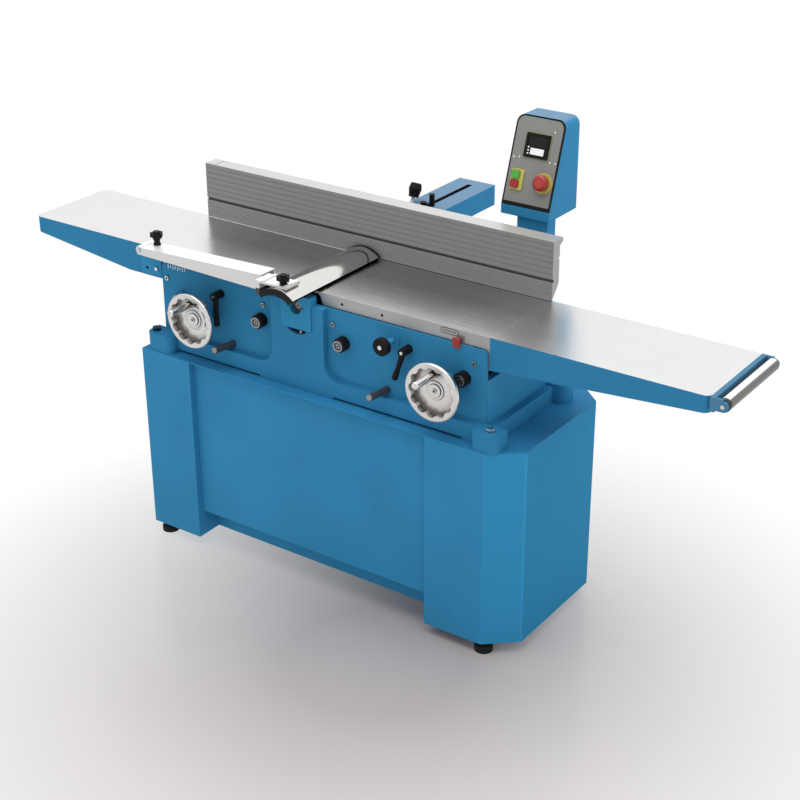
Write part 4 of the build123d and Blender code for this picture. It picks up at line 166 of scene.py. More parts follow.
# Front of the base: pins, screws, transport bars, the hollow under the cutter and the scale
CHEEK_Y = -8.0
PIN_SPOTS = ((-432, -127), (-140, -127), (146, -127), (535, -127))
PIN_SLEEVE = (16.1, 20.4)
PIN_SLEEVE_LENGTH = 24.0
PIN_REACH = 29.0
PIN_RIM = 9.3
PIN_CENTRE = 2.6
SCREW_SPOTS = ((-490, -80), (-132, -80), (112, -80), (566, -80))
SCREW_REACH = 2.0
SCREW_SOCKET = 2.7
BAR_SPOTS = ((-250, -228), (289, -228))
BAR_LIFT = 6.0                   # degrees
BAR_REACH = 83.0
BAR_RADIUS = 8.3
LENS_PLACE = (0.0, -18.0, -115.4)
LENS_HALF = 31.2
LENS_DEPTH = 13.3
LENS_STEPS = 20
SCALE_START = -484.0
SCALE_PITCH = 9.0
SCALE_TICKS = 8
SCALE_Z = -41.0
TICK_HALF = 1.2
TICK_TOP = 4.0
TICK_FEET = (-8.0, -5.0)         # long and short by turns

# Ends of the cutter's shaft and of small pins and bolts
SHAFT_END = (0.0, -19.0, -48.0)
SHAFT_CENTRE = 3.0
SHAFT_RADIUS = 8.5
SHAFT_SHOULDER = 14.8
ROUND_ENDS = (                   # name, place, radius, rise, finish and body
    ("bracket_pin_end", (-530, -12, -61), 5.6, BUTTON_RISE, "alloy", "outfeed"),
    # Painted shade: a black disc on the floor of the bracket's hole
    ("bracket_hole_shade", (-569, -3, -66), 4.8, MARK_RISE, "black", "outfeed"),
    ("guard_pivot_end", (-537, -70, 14), 5.7, SOCKET_RISE, "steel", "outfeed"),
    ("roller_bolt", (1245.5, 0, -18), 5.5, BOLT_RISE, "steel", "infeed"),
    ("shaft_centre", SHAFT_END, SHAFT_CENTRE, SKIN_RISE, "black", "cutter"),
)

# Clamp levers, lock knob, fence arm and tilt knob
LEVER_SPOTS = ((-286, -82, "outfeed_lever"), (361, -89, "infeed_lever"))
LEVER_FRONT_Y = -45.8
LEVER_BUTTON = 4.7
LOCK_FRONT = (309.0, -69.3, -78.0)
LOCK_BUTTON = 6.2
ARM_SLOT_X = 68.0
ARM_SLOT_HALF = 8.5
ARM_SLOT_MIDDLE = 608.0
ARM_SLOT_REACH = 131.0
TILT_KNOB_FOOT = (20.0, 500.0, 100.0)
TILT_KNOB_LEAN = 23.0            # degrees
TILT_STEM_END = 19.0

# Guard blade: the arc of its section, its ends, the black strips and sheet of painted shadow along it, and
# the nose on it
BLADE_RADIUS = 82.27
BLADE_CENTRE_Z = -52.27
BLADE_HALF_TURN = 42.9           # degrees
BLADE_FRONT_Y = -117.0
BLADE_REAR_Y = 275.0
BLADE_EDGES = ((-57.0, -53.5), (53.5, 57.0))
BLADE_EDGE_Z = (4.2, 8.3)
BLADE_EDGE_LENGTH = 375.0
# Foot and length of the black sheet of painted shadow under the blade's right edge
SHADOW_SHEET_FOOT_Z = 0.6
SHADOW_SHEET_LENGTH = 273.0
NOSE_BAND = (-15.0, 0.8)         # inside and outside of the blade's radius

# Oval and strokes on the infeed table's edge
OVAL_PLACE = (483.0, 0.0, -12.5)
OVAL_HALF = (28.0, 8.5)
OVAL_LINE = 1.6
STROKES = 9
STROKE_START = -19.0
STROKE_PITCH = 4.6
STROKE_WIDTH = 1.4
STROKE_HALF = 3.5

# Handwheels, and the dial on the left one
WHEELS = ((-334, "outfeed_wheel"), (490, "infeed_wheel"))
WHEEL_Z = -149.0
WEB_FRONT_Y = -76.0
WHEEL_LINES = ((26.0, 27.4, 0.0), (18.0, 19.0, 2.0))     # radii, and distance in front of the web
WHEEL_SCREW = 3.6
HUB_OUT = 8.0
DIAL_ARC = (41.0, 43.4)
DIAL_TURN = (-20.0, 105.0)       # degrees
DIAL_TICKS = 30
DIAL_TICK_FOOT = 30.0
DIAL_TICK_HALF = 0.5
DIAL_TICK_LENGTHS = (5.0, 3.0)   # each fifth one, and the others

# Control box: the foot and rise of its sloping face, then places on that face from its lower left corner
BOX_LEFT = 360.0
BOX_WIDTH = 152.5
FACE_FOOT = (440.0, 186.0)
FACE_RISE = (80.6, 236.8)
FACE_LENGTH = math.hypot(*FACE_RISE)
FACE_ROUND = 25.0
GASKET_INSET = 0.5
GASKET_FOOT = 10.0
GASKET_SIDE = 5.0
GASKET_ROUND = 21.0
GASKET_DEPTH = 4.0
PANEL_SCREWS = ((12, 131), (29, 133), (125, 132), (142, 132), (124, 214))
PANEL_SCREW = 2.8
DISPLAY_FRAME = (38.5, 133.5, 119.5, 205.5)
DISPLAY_OPENING = (41.1, 136.1, 116.9, 202.9)
DISPLAY_FRAME_RISE = 1.5
DISPLAY_OUT = 2.5
DISPLAY_SCREEN = (60, 145, 102, 163)
DISPLAY_WINDOW = (52, 167, 106, 194)
DISPLAY_KEY = (50.5, 145.0, 56.0, 149.0)
DISPLAY_KEYS = 3
KEY_PITCH = 8.5
KEY_RISE = 1.0
START_SURROUND = (16, 72, 55, 101)
START_HOLE = (18.5, 74.0, 43.5, 96.0)
STOP_SURROUND = (16, 43, 55, 72)
STOP_HOLE = (18.5, 48.0, 43.5, 70.0)
ESTOP_SPOT = (118, 74)
ESTOP_SURROUND = (9.0, 29.0)
ESTOP_RISE = 28.0
ESTOP_CAP = 11.0

# Corner radii of outlines, from the lower left corner
SHARP = (0.0,) * 4
EASED = (0.2,) * 4


def spot(x, y, z):
    """Place in the shared frame, in metres, from millimetres off the machine's datum."""
    return Vector((CUTTER_X + x * MM, TABLE_FRONT + y * MM, TABLE_HEIGHT + z * MM))


# Helpers for shader nodes

def blank(name):
    """New material with its node tree and shader."""
    mat = bpy.data.materials.new(name)
    mat.use_nodes = True
    return mat, mat.node_tree, mat.node_tree.nodes["Principled BSDF"]


def feed(tree, socket, value):
    if isinstance(value, bpy.types.NodeSocket):
        tree.links.new(value, socket)
    else:
        socket.default_value = value


def add(tree, kind, inputs=None, **settings):
    node = tree.nodes.new("ShaderNode" + kind)
    for name, value in settings.items():
        setattr(node, name, value)
    for key, value in (inputs or {}).items():
        feed(tree, node.inputs[key], value)
    return node


def place_of(tree, stretch=(1.0, 1.0, 1.0)):
    """Place on the piece at rest, in metres, stretched on each axis."""
    coords = add(tree, "TexCoord").outputs["Object"]
    return add(tree, "Mapping", {"Vector": coords, "Scale": stretch}).outputs["Vector"]


def noise(tree, scale, stretch=(1.0, 1.0, 1.0), detail=2.0):
    spots = add(tree, "TexNoise", {"Vector": place_of(tree, stretch), "Scale": scale, "Detail": detail})
    return spots.outputs["Fac"]


def span(tree, value, low, high, start=0.3, end=0.7):
    """Value between start and end, spread to low and high."""
    limits = {"Value": value, "From Min": start, "From Max": end, "To Min": low, "To Max": high}
    return add(tree, "MapRange", limits).outputs["Result"]


def maths(tree, operation, *values):
    node = add(tree, "Math", operation=operation)
    for socket, value in zip(node.inputs, values):
        feed(tree, socket, value)
    return node.outputs["Value"]


def blend_colours(tree, share, first, second):
    node = add(tree, "Mix", data_type="RGBA")
    feed(tree, node.inputs["Factor"], share)
    for socket, value in zip((node.inputs[6], node.inputs[7]), (first, second)):
        feed(tree, socket, value if isinstance(value, bpy.types.NodeSocket) else (*value, 1.0))
    return node.outputs[2]


def shade(colour, factor):
    return tuple(min(1.0, part * factor) for part in colour)


def tones(tree, share, colour, low, high):
    """A colour that goes from darker to lighter with a share."""
    return blend_colours(tree, span(tree, share, 0.0, 1.0), shade(colour, low), shade(colour, high))


def axis_place(tree, axis):
    """Place along one axis at rest, in metres."""
    return add(tree, "SeparateXYZ", {"Vector": place_of(tree)}).outputs[axis]


def facing(tree, axis, least=0.8):
    """1 on faces that look along an axis at rest, by more than the least share of their normal."""
    normal = add(tree, "SeparateXYZ", {"Vector": add(tree, "TexCoord").outputs["Normal"]}).outputs[axis]
    return maths(tree, "GREATER_THAN", normal, least)


def facing_up(tree):
    return facing(tree, "Z")


def lay_over(mat, share, colour):
    """Lay a colour over a material's own where a share is 1."""
    tree = mat.node_tree
    base = tree.nodes["Principled BSDF"].inputs["Base Color"]
    feed(tree, base, blend_colours(tree, share, base.links[0].from_socket, colour))


def soft_edges(tree, radius):
    """Normal rounded over sharp edges, and a mask that is 1 on them."""
    rounded = add(tree, "Bevel", {"Radius": radius}, samples=4).outputs["Normal"]
    flat = add(tree, "NewGeometry").outputs["True Normal"]
    dot = add(tree, "VectorMath", operation="DOT_PRODUCT")
    feed(tree, dot.inputs[0], rounded)
    feed(tree, dot.inputs[1], flat)
    return rounded, span(tree, dot.outputs["Value"], 1.0, 0.0, 0.8, 0.99)


def bumpy(tree, height, strength, depth, normal=None):
    inputs = {"Height": height, "Strength": strength, "Distance": depth}
    if normal is not None:
        inputs["Normal"] = normal
    return add(tree, "Bump", inputs).outputs["Normal"]


# Materials

def painted(name, colour, rough=0.42, edge_radius=1.4 * MM, edge_highlight=0.35, top=None):
    """Sprayed paint: faint clouds of tone, a fine orange peel, edges lighter as a painted highlight and, on
    some, top faces paler as a painted sheen of light from above.
    """
    mat, tree, shader = blank(name)
    normal, edges = soft_edges(tree, edge_radius)
    tone = tones(tree, noise(tree, 5.0, detail=4.0), colour, 0.95, 1.06)
    # Painted sheen: top faces take a paler colour, as if lit from above
    if top is not None:
        tone = blend_colours(tree, facing_up(tree), tone, top)
    # Painted highlight: the paint turns lighter along its edges
    lit = blend_colours(tree, maths(tree, "MULTIPLY", edges, edge_highlight), tone, shade(colour, EDGE_HIGHLIGHT_TONE))
    feed(tree, shader.inputs["Base Color"], lit)
    shader.inputs["Specular IOR Level"].default_value = 0.03
    feed(tree, shader.inputs["Roughness"], span(tree, noise(tree, 40.0), rough - 0.05, rough + 0.05))
    feed(tree, shader.inputs["Normal"], bumpy(tree, noise(tree, 900.0), 0.12, 0.2 * MM, normal))
    return mat


def column_paint(name):
    """Paint of the column with cut corners, with painted light: the cut face brighter, the side face shaded
    and two painted highlight lines along the cut.
    """
    mat = painted(name, BLUE)
    tree = mat.node_tree
    # Painted light by face: the cut face lighter, the side face shaded
    side = facing(tree, "X")
    lay_over(mat, maths(tree, "SUBTRACT", facing(tree, "X", CUT_FACING), side), CUT_HIGHLIGHT_BLUE)
    lay_over(mat, side, SIDE_SHADE_BLUE)
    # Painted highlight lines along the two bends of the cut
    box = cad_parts["cabinet_right_column"].bound_box
    right = max(corner[0] for corner in box)
    front = min(corner[1] for corner in box)
    bends = (("X", right - CORNER_CUT[0] * MM), ("Y", front + CORNER_CUT[1] * MM))
    for (axis, place), light in zip(bends, BEND_HIGHLIGHTS):
        near = maths(tree, "ABSOLUTE", maths(tree, "SUBTRACT", axis_place(tree, axis), place))
        lay_over(mat, span(tree, near, light, 0.0, 0.0, BEND_WIDTH * MM), shade(BLUE, EDGE_HIGHLIGHT_TONE))
    return mat


def fence_reflection_share(tree):
    """Share of the painted reflection of the dark fence on the tables: it grows towards the fence and fades
    out before their ends.
    """
    x = axis_place(tree, "X")
    share = span(tree, axis_place(tree, "Y"), 0.0, 1.0, *[TABLE_FRONT + y * MM for y in FENCE_REFLECTION_DEPTH])
    for start, end in FENCE_REFLECTION_ENDS:
        along = span(tree, x, 0.0, 1.0, CUTTER_X + start * MM, CUTTER_X + end * MM)
        share = maths(tree, "MULTIPLY", share, along)
    return share


def machined(name, colour, rough=0.22, stretch=(1.5, 200.0, 200.0), contrast=0.04, dull_shaded_sides=False):
    """Bright ground metal with fine lines along one axis and faint smears. The sides may be left duller:
    rougher, and darker as painted shade; then the top also takes a painted reflection of the fence.
    """
    mat, tree, shader = blank(name)
    normal = soft_edges(tree, 0.7 * MM)[0]
    lines = noise(tree, 4.0, stretch, detail=4.0)
    clouds = noise(tree, 5.0, detail=3.0)
    streak = maths(tree, "ADD", maths(tree, "MULTIPLY", lines, 0.5), maths(tree, "MULTIPLY", clouds, 0.5))
    tone = tones(tree, streak, colour, 1.0 - contrast, 1.0 + contrast)
    gloss = span(tree, streak, rough - 0.03, rough + 0.03)
    if dull_shaded_sides:
        # Painted reflection: the top darkens towards the fence, as if it reflected the dark fence
        tone = blend_colours(tree, fence_reflection_share(tree), tone, shade(colour, FENCE_REFLECTION_TONE))
        up = facing_up(tree)
        # Painted shade: faces that don't look up take a darker copy of the colour
        tone = blend_colours(tree, up, shade(colour, SIDE_SHADE_TONE), tone)
        side = maths(tree, "SUBTRACT", 1.0, up)
        gloss = maths(tree, "ADD", gloss, maths(tree, "MULTIPLY", side, SIDE_ROUGH))
    feed(tree, shader.inputs["Base Color"], tone)
    shader.inputs["Metallic"].default_value = 1.0
    feed(tree, shader.inputs["Roughness"], gloss)
    feed(tree, shader.inputs["Normal"], bumpy(tree, lines, 0.02, 0.05 * MM, normal))
    return mat


def polished(name, colour, rough=0.16, hollow=28 * MM):
    """Buffed metal, with painted shade in its hollows: darker and duller there."""
    mat, tree, shader = blank(name)
    normal = soft_edges(tree, 0.8 * MM)[0]
    smears = noise(tree, 30.0, (1.0, 1.0, 6.0), detail=4.0)
    # Painted shade: ambient occlusion darkens the hollows towards SHADE_GREY
    open_sky = add(tree, "AmbientOcclusion", {"Distance": hollow}, samples=6).outputs["AO"]
    unshaded = span(tree, open_sky, 0.0, 1.0, 0.35, 0.95)
    feed(tree, shader.inputs["Base Color"], blend_colours(
        tree, unshaded, SHADE_GREY, tones(tree, smears, colour, 0.94, 1.0)))
    shader.inputs["Metallic"].default_value = 1.0
    feed(tree, shader.inputs["Roughness"], span(tree, unshaded, rough + 0.25, rough, 0.0, 1.0))
    feed(tree, shader.inputs["Normal"], bumpy(tree, noise(tree, 500.0), 0.03, 0.1 * MM, normal))
    return mat


def satin(name, colour, shade_below=None):
    """Brushed alloy with a soft sheen and a painted highlight that pales its top faces. Below a height it is
    painted dark, as shade under the piece.
    """
    mat, tree, shader = blank(name)
    normal = soft_edges(tree, 0.9 * MM)[0]
    brushed = noise(tree, 4.0, (2.0, 120.0, 120.0), detail=4.0)
    tone = tones(tree, brushed, colour, 0.985, 1.015)
    # Painted highlight: top faces take a paler colour
    tone = blend_colours(tree, facing_up(tree), tone, SATIN_TOP_HIGHLIGHT)
    # Painted shade: below the height the alloy takes a dark colour
    if shade_below is not None:
        low = maths(tree, "LESS_THAN", axis_place(tree, "Z"), TABLE_HEIGHT + shade_below * MM)
        tone = blend_colours(tree, low, tone, DARK_STEEL)
    feed(tree, shader.inputs["Base Color"], tone)
    shader.inputs["Metallic"].default_value = 0.35
    feed(tree, shader.inputs["Roughness"], span(tree, brushed, 0.3, 0.36))
    feed(tree, shader.inputs["Normal"], bumpy(tree, brushed, 0.015, 0.1 * MM, normal))
    return mat


def fence_skin(name):
    """Anodised fence: fine ribs along the face with painted highlights along them, painted shade in the dark
    deep groove, and a painted highlight on the bright top and on the right end faces.
    """
    mat, tree, shader = blank(name)
    normal = soft_edges(tree, 0.6 * MM)[0]
    height = maths(tree, "SUBTRACT", axis_place(tree, "Z"), TABLE_HEIGHT)
    rib = maths(tree, "SINE", maths(tree, "MULTIPLY", height, math.tau / (RIB_PITCH * MM)))
    brushed = noise(tree, 4.0, (1.0, 220.0, 220.0), detail=4.0)
    tone = tones(tree, brushed, ANODISED, 0.93, 1.07)
    # Painted highlight along the ribs
    tone = blend_colours(tree, span(tree, rib, 0.0, 1.0, 0.6, 1.0), tone, shade(ANODISED, RIB_HIGHLIGHT_TONE))
    # The fence turns darker towards its right end
    ends = [CUTTER_X + end * MM for end in FENCE_ENDS]
    rightward = span(tree, axis_place(tree, "X"), 0.0, 1.0, *ends)
    tone = blend_colours(tree, maths(tree, "MULTIPLY", rightward, 0.5), tone, shade(ANODISED, RIGHT_END_TONE))
    top = facing_up(tree)
    # Painted highlight on the end faces that look towards +X
    tone = blend_colours(tree, facing(tree, "X"), tone, shade(ANODISED, FENCE_END_HIGHLIGHT_TONE))
    # Painted highlight on the top
    tone = blend_colours(tree, top, tone, TOP_HIGHLIGHT_GREY)
    # Painted shade: inside the deep groove the fence takes a dark copy of its colour
    depth = maths(tree, "SUBTRACT", axis_place(tree, "Y"), TABLE_FRONT + FENCE_FACE_Y * MM)
    behind = maths(tree, "GREATER_THAN", depth, GROOVE_DEPTH[0] * MM)
    inside = maths(tree, "MULTIPLY", behind, maths(tree, "LESS_THAN", depth, GROOVE_DEPTH[1] * MM))
    near = maths(tree, "COMPARE", height, GROOVE_Z * MM, GROOVE_HALF * MM)
    tone = blend_colours(tree, maths(tree, "MULTIPLY", inside, near), tone, shade(ANODISED, GROOVE_SHADE_TONE))
    feed(tree, shader.inputs["Base Color"], tone)
    shader.inputs["Specular IOR Level"].default_value = 0.3
    feed(tree, shader.inputs["Metallic"], maths(tree, "MULTIPLY", top, 0.5))
    rough = maths(tree, "SUBTRACT", span(tree, brushed, 0.42, 0.52), maths(tree, "MULTIPLY", top, 0.15))
    feed(tree, shader.inputs["Roughness"], rough)
    feed(tree, shader.inputs["Normal"], bumpy(tree, rib, 0.25, 0.25 * MM, normal))
    return mat


def moulded(name, colour, rough=0.42, grain=0.15, shine=0.4):
    """Moulded plastic or rubber with a fine grain and a painted highlight along its edges."""
    mat, tree, shader = blank(name)
    normal, edges = soft_edges(tree, 0.6 * MM)
    tone = tones(tree, noise(tree, 25.0, detail=4.0), colour, 0.88, 1.12)
    # Painted highlight: the plastic turns lighter along its edges
    lit = blend_colours(tree, maths(tree, "MULTIPLY", edges, 0.3), tone, shade(colour, 2.0))
    feed(tree, shader.inputs["Base Color"], lit)
    shader.inputs["Specular IOR Level"].default_value = shine
    feed(tree, shader.inputs["Roughness"], span(tree, noise(tree, 80.0), rough - 0.05, rough + 0.07))
    feed(tree, shader.inputs["Normal"], bumpy(tree, noise(tree, 1400.0), grain, 0.1 * MM, normal))
    return mat


def slotted_arm(name):
    """Paint with a painted sheen on its top faces, and painted shade in black where its slot is."""
    mat = painted(name, BLUE, top=TOP_SHEEN_BLUE)
    tree = mat.node_tree
    middle = spot(ARM_SLOT_X, ARM_SLOT_MIDDLE, 0)
    across = maths(tree, "COMPARE", axis_place(tree, "X"), middle.x, ARM_SLOT_HALF * MM)
    along = maths(tree, "COMPARE", axis_place(tree, "Y"), middle.y, ARM_SLOT_REACH * MM)
    # Painted shade: the slot is laid over in black
    lay_over(mat, maths(tree, "MULTIPLY", across, along), BLACK)
    return mat


def knob_on_stem(name):
    """Black knob on a bright stem, told apart along its leaning axis."""
    mat = moulded(name, BLACK, shine=BLACK_SHINE)
    tree = mat.node_tree
    lean = math.radians(TILT_KNOB_LEAN)
    axis = Vector((0.0, math.sin(lean), math.cos(lean)))
    along = add(tree, "VectorMath", {0: place_of(tree), 1: axis}, operation="DOT_PRODUCT").outputs["Value"]
    stem_end = spot(*TILT_KNOB_FOOT).dot(axis) + TILT_STEM_END * MM
    lay_over(mat, maths(tree, "LESS_THAN", along, stem_end), STEEL)
    return mat


def roller_skin(name):
    """Turned roller with painted shade at its front end, a painted highlight where it looks at the sky and
    grey below.
    """
    mat, tree, shader = blank(name)
    upward = add(tree, "SeparateXYZ", {"Vector": add(tree, "NewGeometry").outputs["Normal"]}).outputs["Z"]
    lines = noise(tree, 4.0, (60.0, 1.0, 60.0), detail=4.0)
    grey = tones(tree, lines, ROLLER_GREY, 0.9, 1.1)
    # Painted highlight: faces that look up turn white
    tone = blend_colours(tree, span(tree, upward, 0.0, 1.0, *ROLLER_HIGHLIGHT_SPAN), grey, WHITE)
    # Painted shade on the roller's front end
    shaded_end = maths(tree, "LESS_THAN", axis_place(tree, "Y"), TABLE_FRONT + ROLLER_END_SHADE_END * MM)
    feed(tree, shader.inputs["Base Color"], blend_colours(tree, shaded_end, tone, ROLLER_END_SHADE))
    shader.inputs["Metallic"].default_value = 0.1
    shader.inputs["Specular IOR Level"].default_value = 0.25
    feed(tree, shader.inputs["Roughness"], span(tree, lines, 0.3, 0.36))
    return mat


def fastener_steel(name):
    """Screws, pins and bolts: bright, with painted shade that dulls those in the middle of the front, and
    the left bolts dark blue.
    """
    mat = polished(name, STEEL, rough=0.26, hollow=8 * MM)
    tree = mat.node_tree
    high = maths(tree, "GREATER_THAN", axis_place(tree, "Z"), TABLE_HEIGHT + SHADED_SCREWS_ABOVE * MM)
    inner = [maths(tree, test, axis_place(tree, "X"), CUTTER_X + x * MM)
             for test, x in zip(("GREATER_THAN", "LESS_THAN"), SHADED_SCREWS)]
    # Painted shade: these take the dull steel colour
    lay_over(mat, maths(tree, "MULTIPLY", high, maths(tree, "MULTIPLY", *inner)), DULL_STEEL)
    # The left bolts low on the base are dark blue
    left = maths(tree, "LESS_THAN", axis_place(tree, "X"), CUTTER_X + LEFT_BOLTS_TO * MM)
    low = maths(tree, "LESS_THAN", axis_place(tree, "Z"), TABLE_HEIGHT + LEFT_BOLTS_BELOW * MM)
    lay_over(mat, maths(tree, "MULTIPLY", left, low), DEEP_BLUE)
    return mat


def knob_on_boss(name):
    """Black knob whose neck is painted like the wall behind it."""
    mat = moulded(name, BLACK, shine=BLACK_SHINE)
    tree = mat.node_tree
    neck = maths(tree, "GREATER_THAN", axis_place(tree, "Y"), TABLE_FRONT + LOCK_NECK_Y * MM)
    lay_over(mat, neck, BLUE)
    return mat


def painted_casting(name):
    """Painted casting whose top face is ground bright: the two finishes meet at its upper edge."""
    # The paint is a darker copy of the blue, as painted shade
    mat = painted(name, shade(BLUE, EXTENSION_SHADE_TONE))
    tree = mat.node_tree
    paint = tree.nodes["Principled BSDF"]
    clouds = noise(tree, 5.0, detail=3.0)
    bright = add(tree, "BsdfPrincipled", {"Metallic": 1.0})
    feed(tree, bright.inputs["Base Color"], tones(tree, clouds, GROUND_METAL, 0.98, 1.02))
    feed(tree, bright.inputs["Roughness"], span(tree, clouds, 0.25, 0.3))
    both = add(tree, "MixShader", {0: facing_up(tree), 1: paint.outputs[0], 2: bright.outputs[0]})
    feed(tree, tree.nodes["Material Output"].inputs["Surface"], both.outputs[0])
    return mat


# Each finish: its material, the record's slot that it belongs to, and the solids that wear it, if any do
FINISHES = {
    "blue": (painted("blue_paint", BLUE), "blue_paint",
             "cabinet_left_column cabinet_front_panel cabinet_rear_panel cabinet_top_plate base_rear_wall "
             "base_crossmembers belt_guard fence_support control_post guard_bracket motor_shelf"),
    "column_blue": (column_paint("column_paint"), "blue_paint", "cabinet_right_column"),
    # Base front wall: a darker copy of the blue, as painted shade under the tables' overhang
    "shaded_base_blue": (painted("shaded_base_paint", shade(BLUE, BASE_SHADE_TONE)), "blue_paint", "base_front_wall"),
    # Control box with a painted sheen on its top faces
    "top_sheen_blue": (painted("top_sheen_paint", BLUE, top=TOP_SHEEN_BLUE), "blue_paint", "control_box"),
    "arm_blue": (slotted_arm("slotted_arm_paint"), "blue_paint", "fence_arm"),
    "muted_blue": (painted("muted_paint", MUTED_BLUE), "blue_paint", "roller_brackets"),
    "pale_blue": (painted("pale_blue_paint", PALE_BLUE), "blue_paint", "bearing_housings"),
    "casting": (painted_casting("extension_casting"), "blue_paint", "outfeed_extension infeed_extension"),
    "iron": (machined("ground_iron", GROUND_METAL, rough=0.26, dull_shaded_sides=True), "ground_iron",
             "outfeed_table infeed_table"),
    "anodised": (fence_skin("anodised_alloy"), "anodised", "fence_rail fence_end_caps"),
    "alloy": (polished("polished_alloy", ALLOY), "polished",
              "outfeed_handwheel infeed_handwheel outfeed_grip infeed_grip"),
    "roller": (roller_skin("turned_roller"), "polished", "end_roller"),
    "blade": (machined("blade_alloy", ALLOY, rough=0.12, stretch=(60.0, 1.0, 60.0)), "polished",
              "guard_blade"),
    "satin": (satin("satin_alloy", SATIN), "polished", "guard_arm"),
    # Guard head, painted dark below a height as shade under it
    "head": (satin("head_alloy", SATIN, shade_below=HEAD_SHADE_BELOW), "polished", "guard_head"),
    "steel": (polished("turned_steel", STEEL, rough=0.26, hollow=8 * MM), "steel",
              "cutter_bearings cutterblock cutter_knives motor_rotor outfeed_shaft infeed_shaft "
              "outfeed_rack infeed_rack fence_hinge"),
    "fasteners": (fastener_steel("fastener_steel"), "steel", "base_fasteners"),
    "dull_steel": (moulded("dull_steel", DULL_STEEL, rough=0.35, grain=0.1), "steel", ""),
    "dark_steel": (moulded("blackened_steel", DARK_STEEL, rough=0.36, grain=0.08), "dark_steel",
                   "lifting_bars motor_body chip_chute"),
    "black": (moulded("black_plastic", BLACK, shine=BLACK_SHINE), "black_plastic",
              "outfeed_clamp_lever infeed_clamp_lever guard_height_knob guard_star_knob guard_end_caps "
              "fence_lever display_unit"),
    "tilt_knob": (knob_on_stem("tilt_knob_plastic"), "black_plastic", "tilt_knob"),
    "lock_knob": (knob_on_boss("lock_knob_plastic"), "black_plastic", "lock_knob"),
    "glass": (moulded("dark_glass", DARK_GLASS, rough=0.25, grain=0.02, shine=BLACK_SHINE),
              "black_plastic", ""),
    "pale_seal": (moulded("pale_seal", PALE_GREY, rough=0.4, grain=0.05), "rubber", ""),
    "rubber": (moulded("black_rubber", RUBBER_BLACK, rough=0.65, grain=0.3, shine=0.2), "rubber",
               "levelling_feet drive_belt"),
    # Black of the painted shadow under the guard blade
    "painted_shadow": (moulded("black_painted_shadow", PAINTED_SHADOW_BLACK, rough=0.8, grain=0.1, shine=0.0), "rubber", ""),
    "plate": (painted("grey_plate", PLATE_GREY, rough=0.46), "control_grey", "control_plate"),
    "red": (moulded("red_plastic", RED, rough=0.3, grain=0.05), "red_plastic",
            "stop_button estop_button depth_pointer"),
    "pale_red": (moulded("pale_red_plastic", PALE_RED, rough=0.35, grain=0.05), "red_plastic", ""),
    "green": (moulded("green_plastic", GREEN, rough=0.3, grain=0.05), "green_plastic", "start_button"),
    "yellow": (moulded("yellow_plastic", YELLOW, rough=0.4, grain=0.05), "control_grey", ""),
    "olive": (moulded("olive_plastic", OLIVE, rough=0.4, grain=0.05), "control_grey", ""),
    "white": (moulded("white_plastic", WHITE, rough=0.35, grain=0.05), "control_grey", ""),
}


def dress_nodes():
    for material, _, names in FINISHES.values():
        for name in names.split():
            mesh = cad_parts[name].data
            mesh.materials.clear()
            mesh.materials.append(material)


# Added pieces. Each is made in a small frame of its own: across, up and out of the face that it sits on.

def axes(origin, across, up):
    across = Vector(across).normalized()
    up = Vector(up).normalized()
    return Matrix.Translation(origin) @ Matrix((across, up, across.cross(up))).transposed().to_4x4()


def on_front(x, y, z):
    return axes(spot(x, y, z), (1, 0, 0), (0, 0, 1))


def on_panel(u=0.0, v=0.0, out=0.0):
    """Frame on the sloping face of the control box, from its lower left corner."""
    base = axes(spot(BOX_LEFT, *FACE_FOOT), (1, 0, 0), (0, *FACE_RISE))
    return base @ Matrix.Translation(Vector((u, v, out)) * MM)


def fix(name, points, faces, where, finish, body):
    """A mesh piece in one finish that moves with a body of the machine."""
    mesh = bpy.data.meshes.new(name)
    mesh.from_pydata([where @ (Vector(point) * MM) for point in points], [], faces)
    mesh.validate()
    material, slot, _ = FINISHES[finish]
    mesh.materials.append(material)
    piece = bpy.data.objects.new(name, mesh)
    bpy.context.scene.collection.objects.link(piece)
    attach(piece, body)


def ring(name, where, inner, outer, low, high, finish, body, steps=40, start=0.0, end=360.0):
    """Flat ring, or an arc of one, about the frame's outward axis."""
    closed = end - start >= 360.0
    count = steps if closed else steps + 1
    points = []
    for number in range(count):
        angle = math.radians(start + (end - start) * number / steps)
        for radius, height in ((inner, low), (outer, low), (outer, high), (inner, high)):
            points.append((radius * math.cos(angle), radius * math.sin(angle), height))
    faces = []
    for number in range(steps):
        here = 4 * number
        there = 4 * ((number + 1) % count)
        for corner in range(4):
            after = (corner + 1) % 4
            faces.append((here + corner, here + after, there + after, there + corner))
    if not closed:
        last = 4 * (count - 1)
        faces += [(3, 2, 1, 0), (last, last + 1, last + 2, last + 3)]
    fix(name, points, faces, where, finish, body)


def outline(left, low, right, high, rounds, steps=6):
    """Points round a rectangle, with a radius for each corner from the lower left, anticlockwise."""
    corners = (
        (left, low, 1, 1, 180),
        (right, low, -1, 1, 270),
        (right, high, -1, -1, 0),
        (left, high, 1, -1, 90),
    )
    points = []
    for (x, y, inward_x, inward_y, first), radius in zip(corners, rounds):
        for step in range(steps + 1):
            angle = math.radians(first + 90.0 * step / steps)
            across = radius * (inward_x + math.cos(angle))
            up = radius * (inward_y + math.sin(angle))
            points.append((x + across, y + up))
    return points


def plate(name, where, edge, low, high, finish, body):
    """Flat plate from its outline."""
    count = len(edge)
    points = [(x, y, low) for x, y in edge] + [(x, y, high) for x, y in edge]
    faces = [tuple(reversed(range(count))), tuple(range(count, 2 * count))]
    for number in range(count):
        after = (number + 1) % count
        faces.append((number, after, count + after, count + number))
    fix(name, points, faces, where, finish, body)


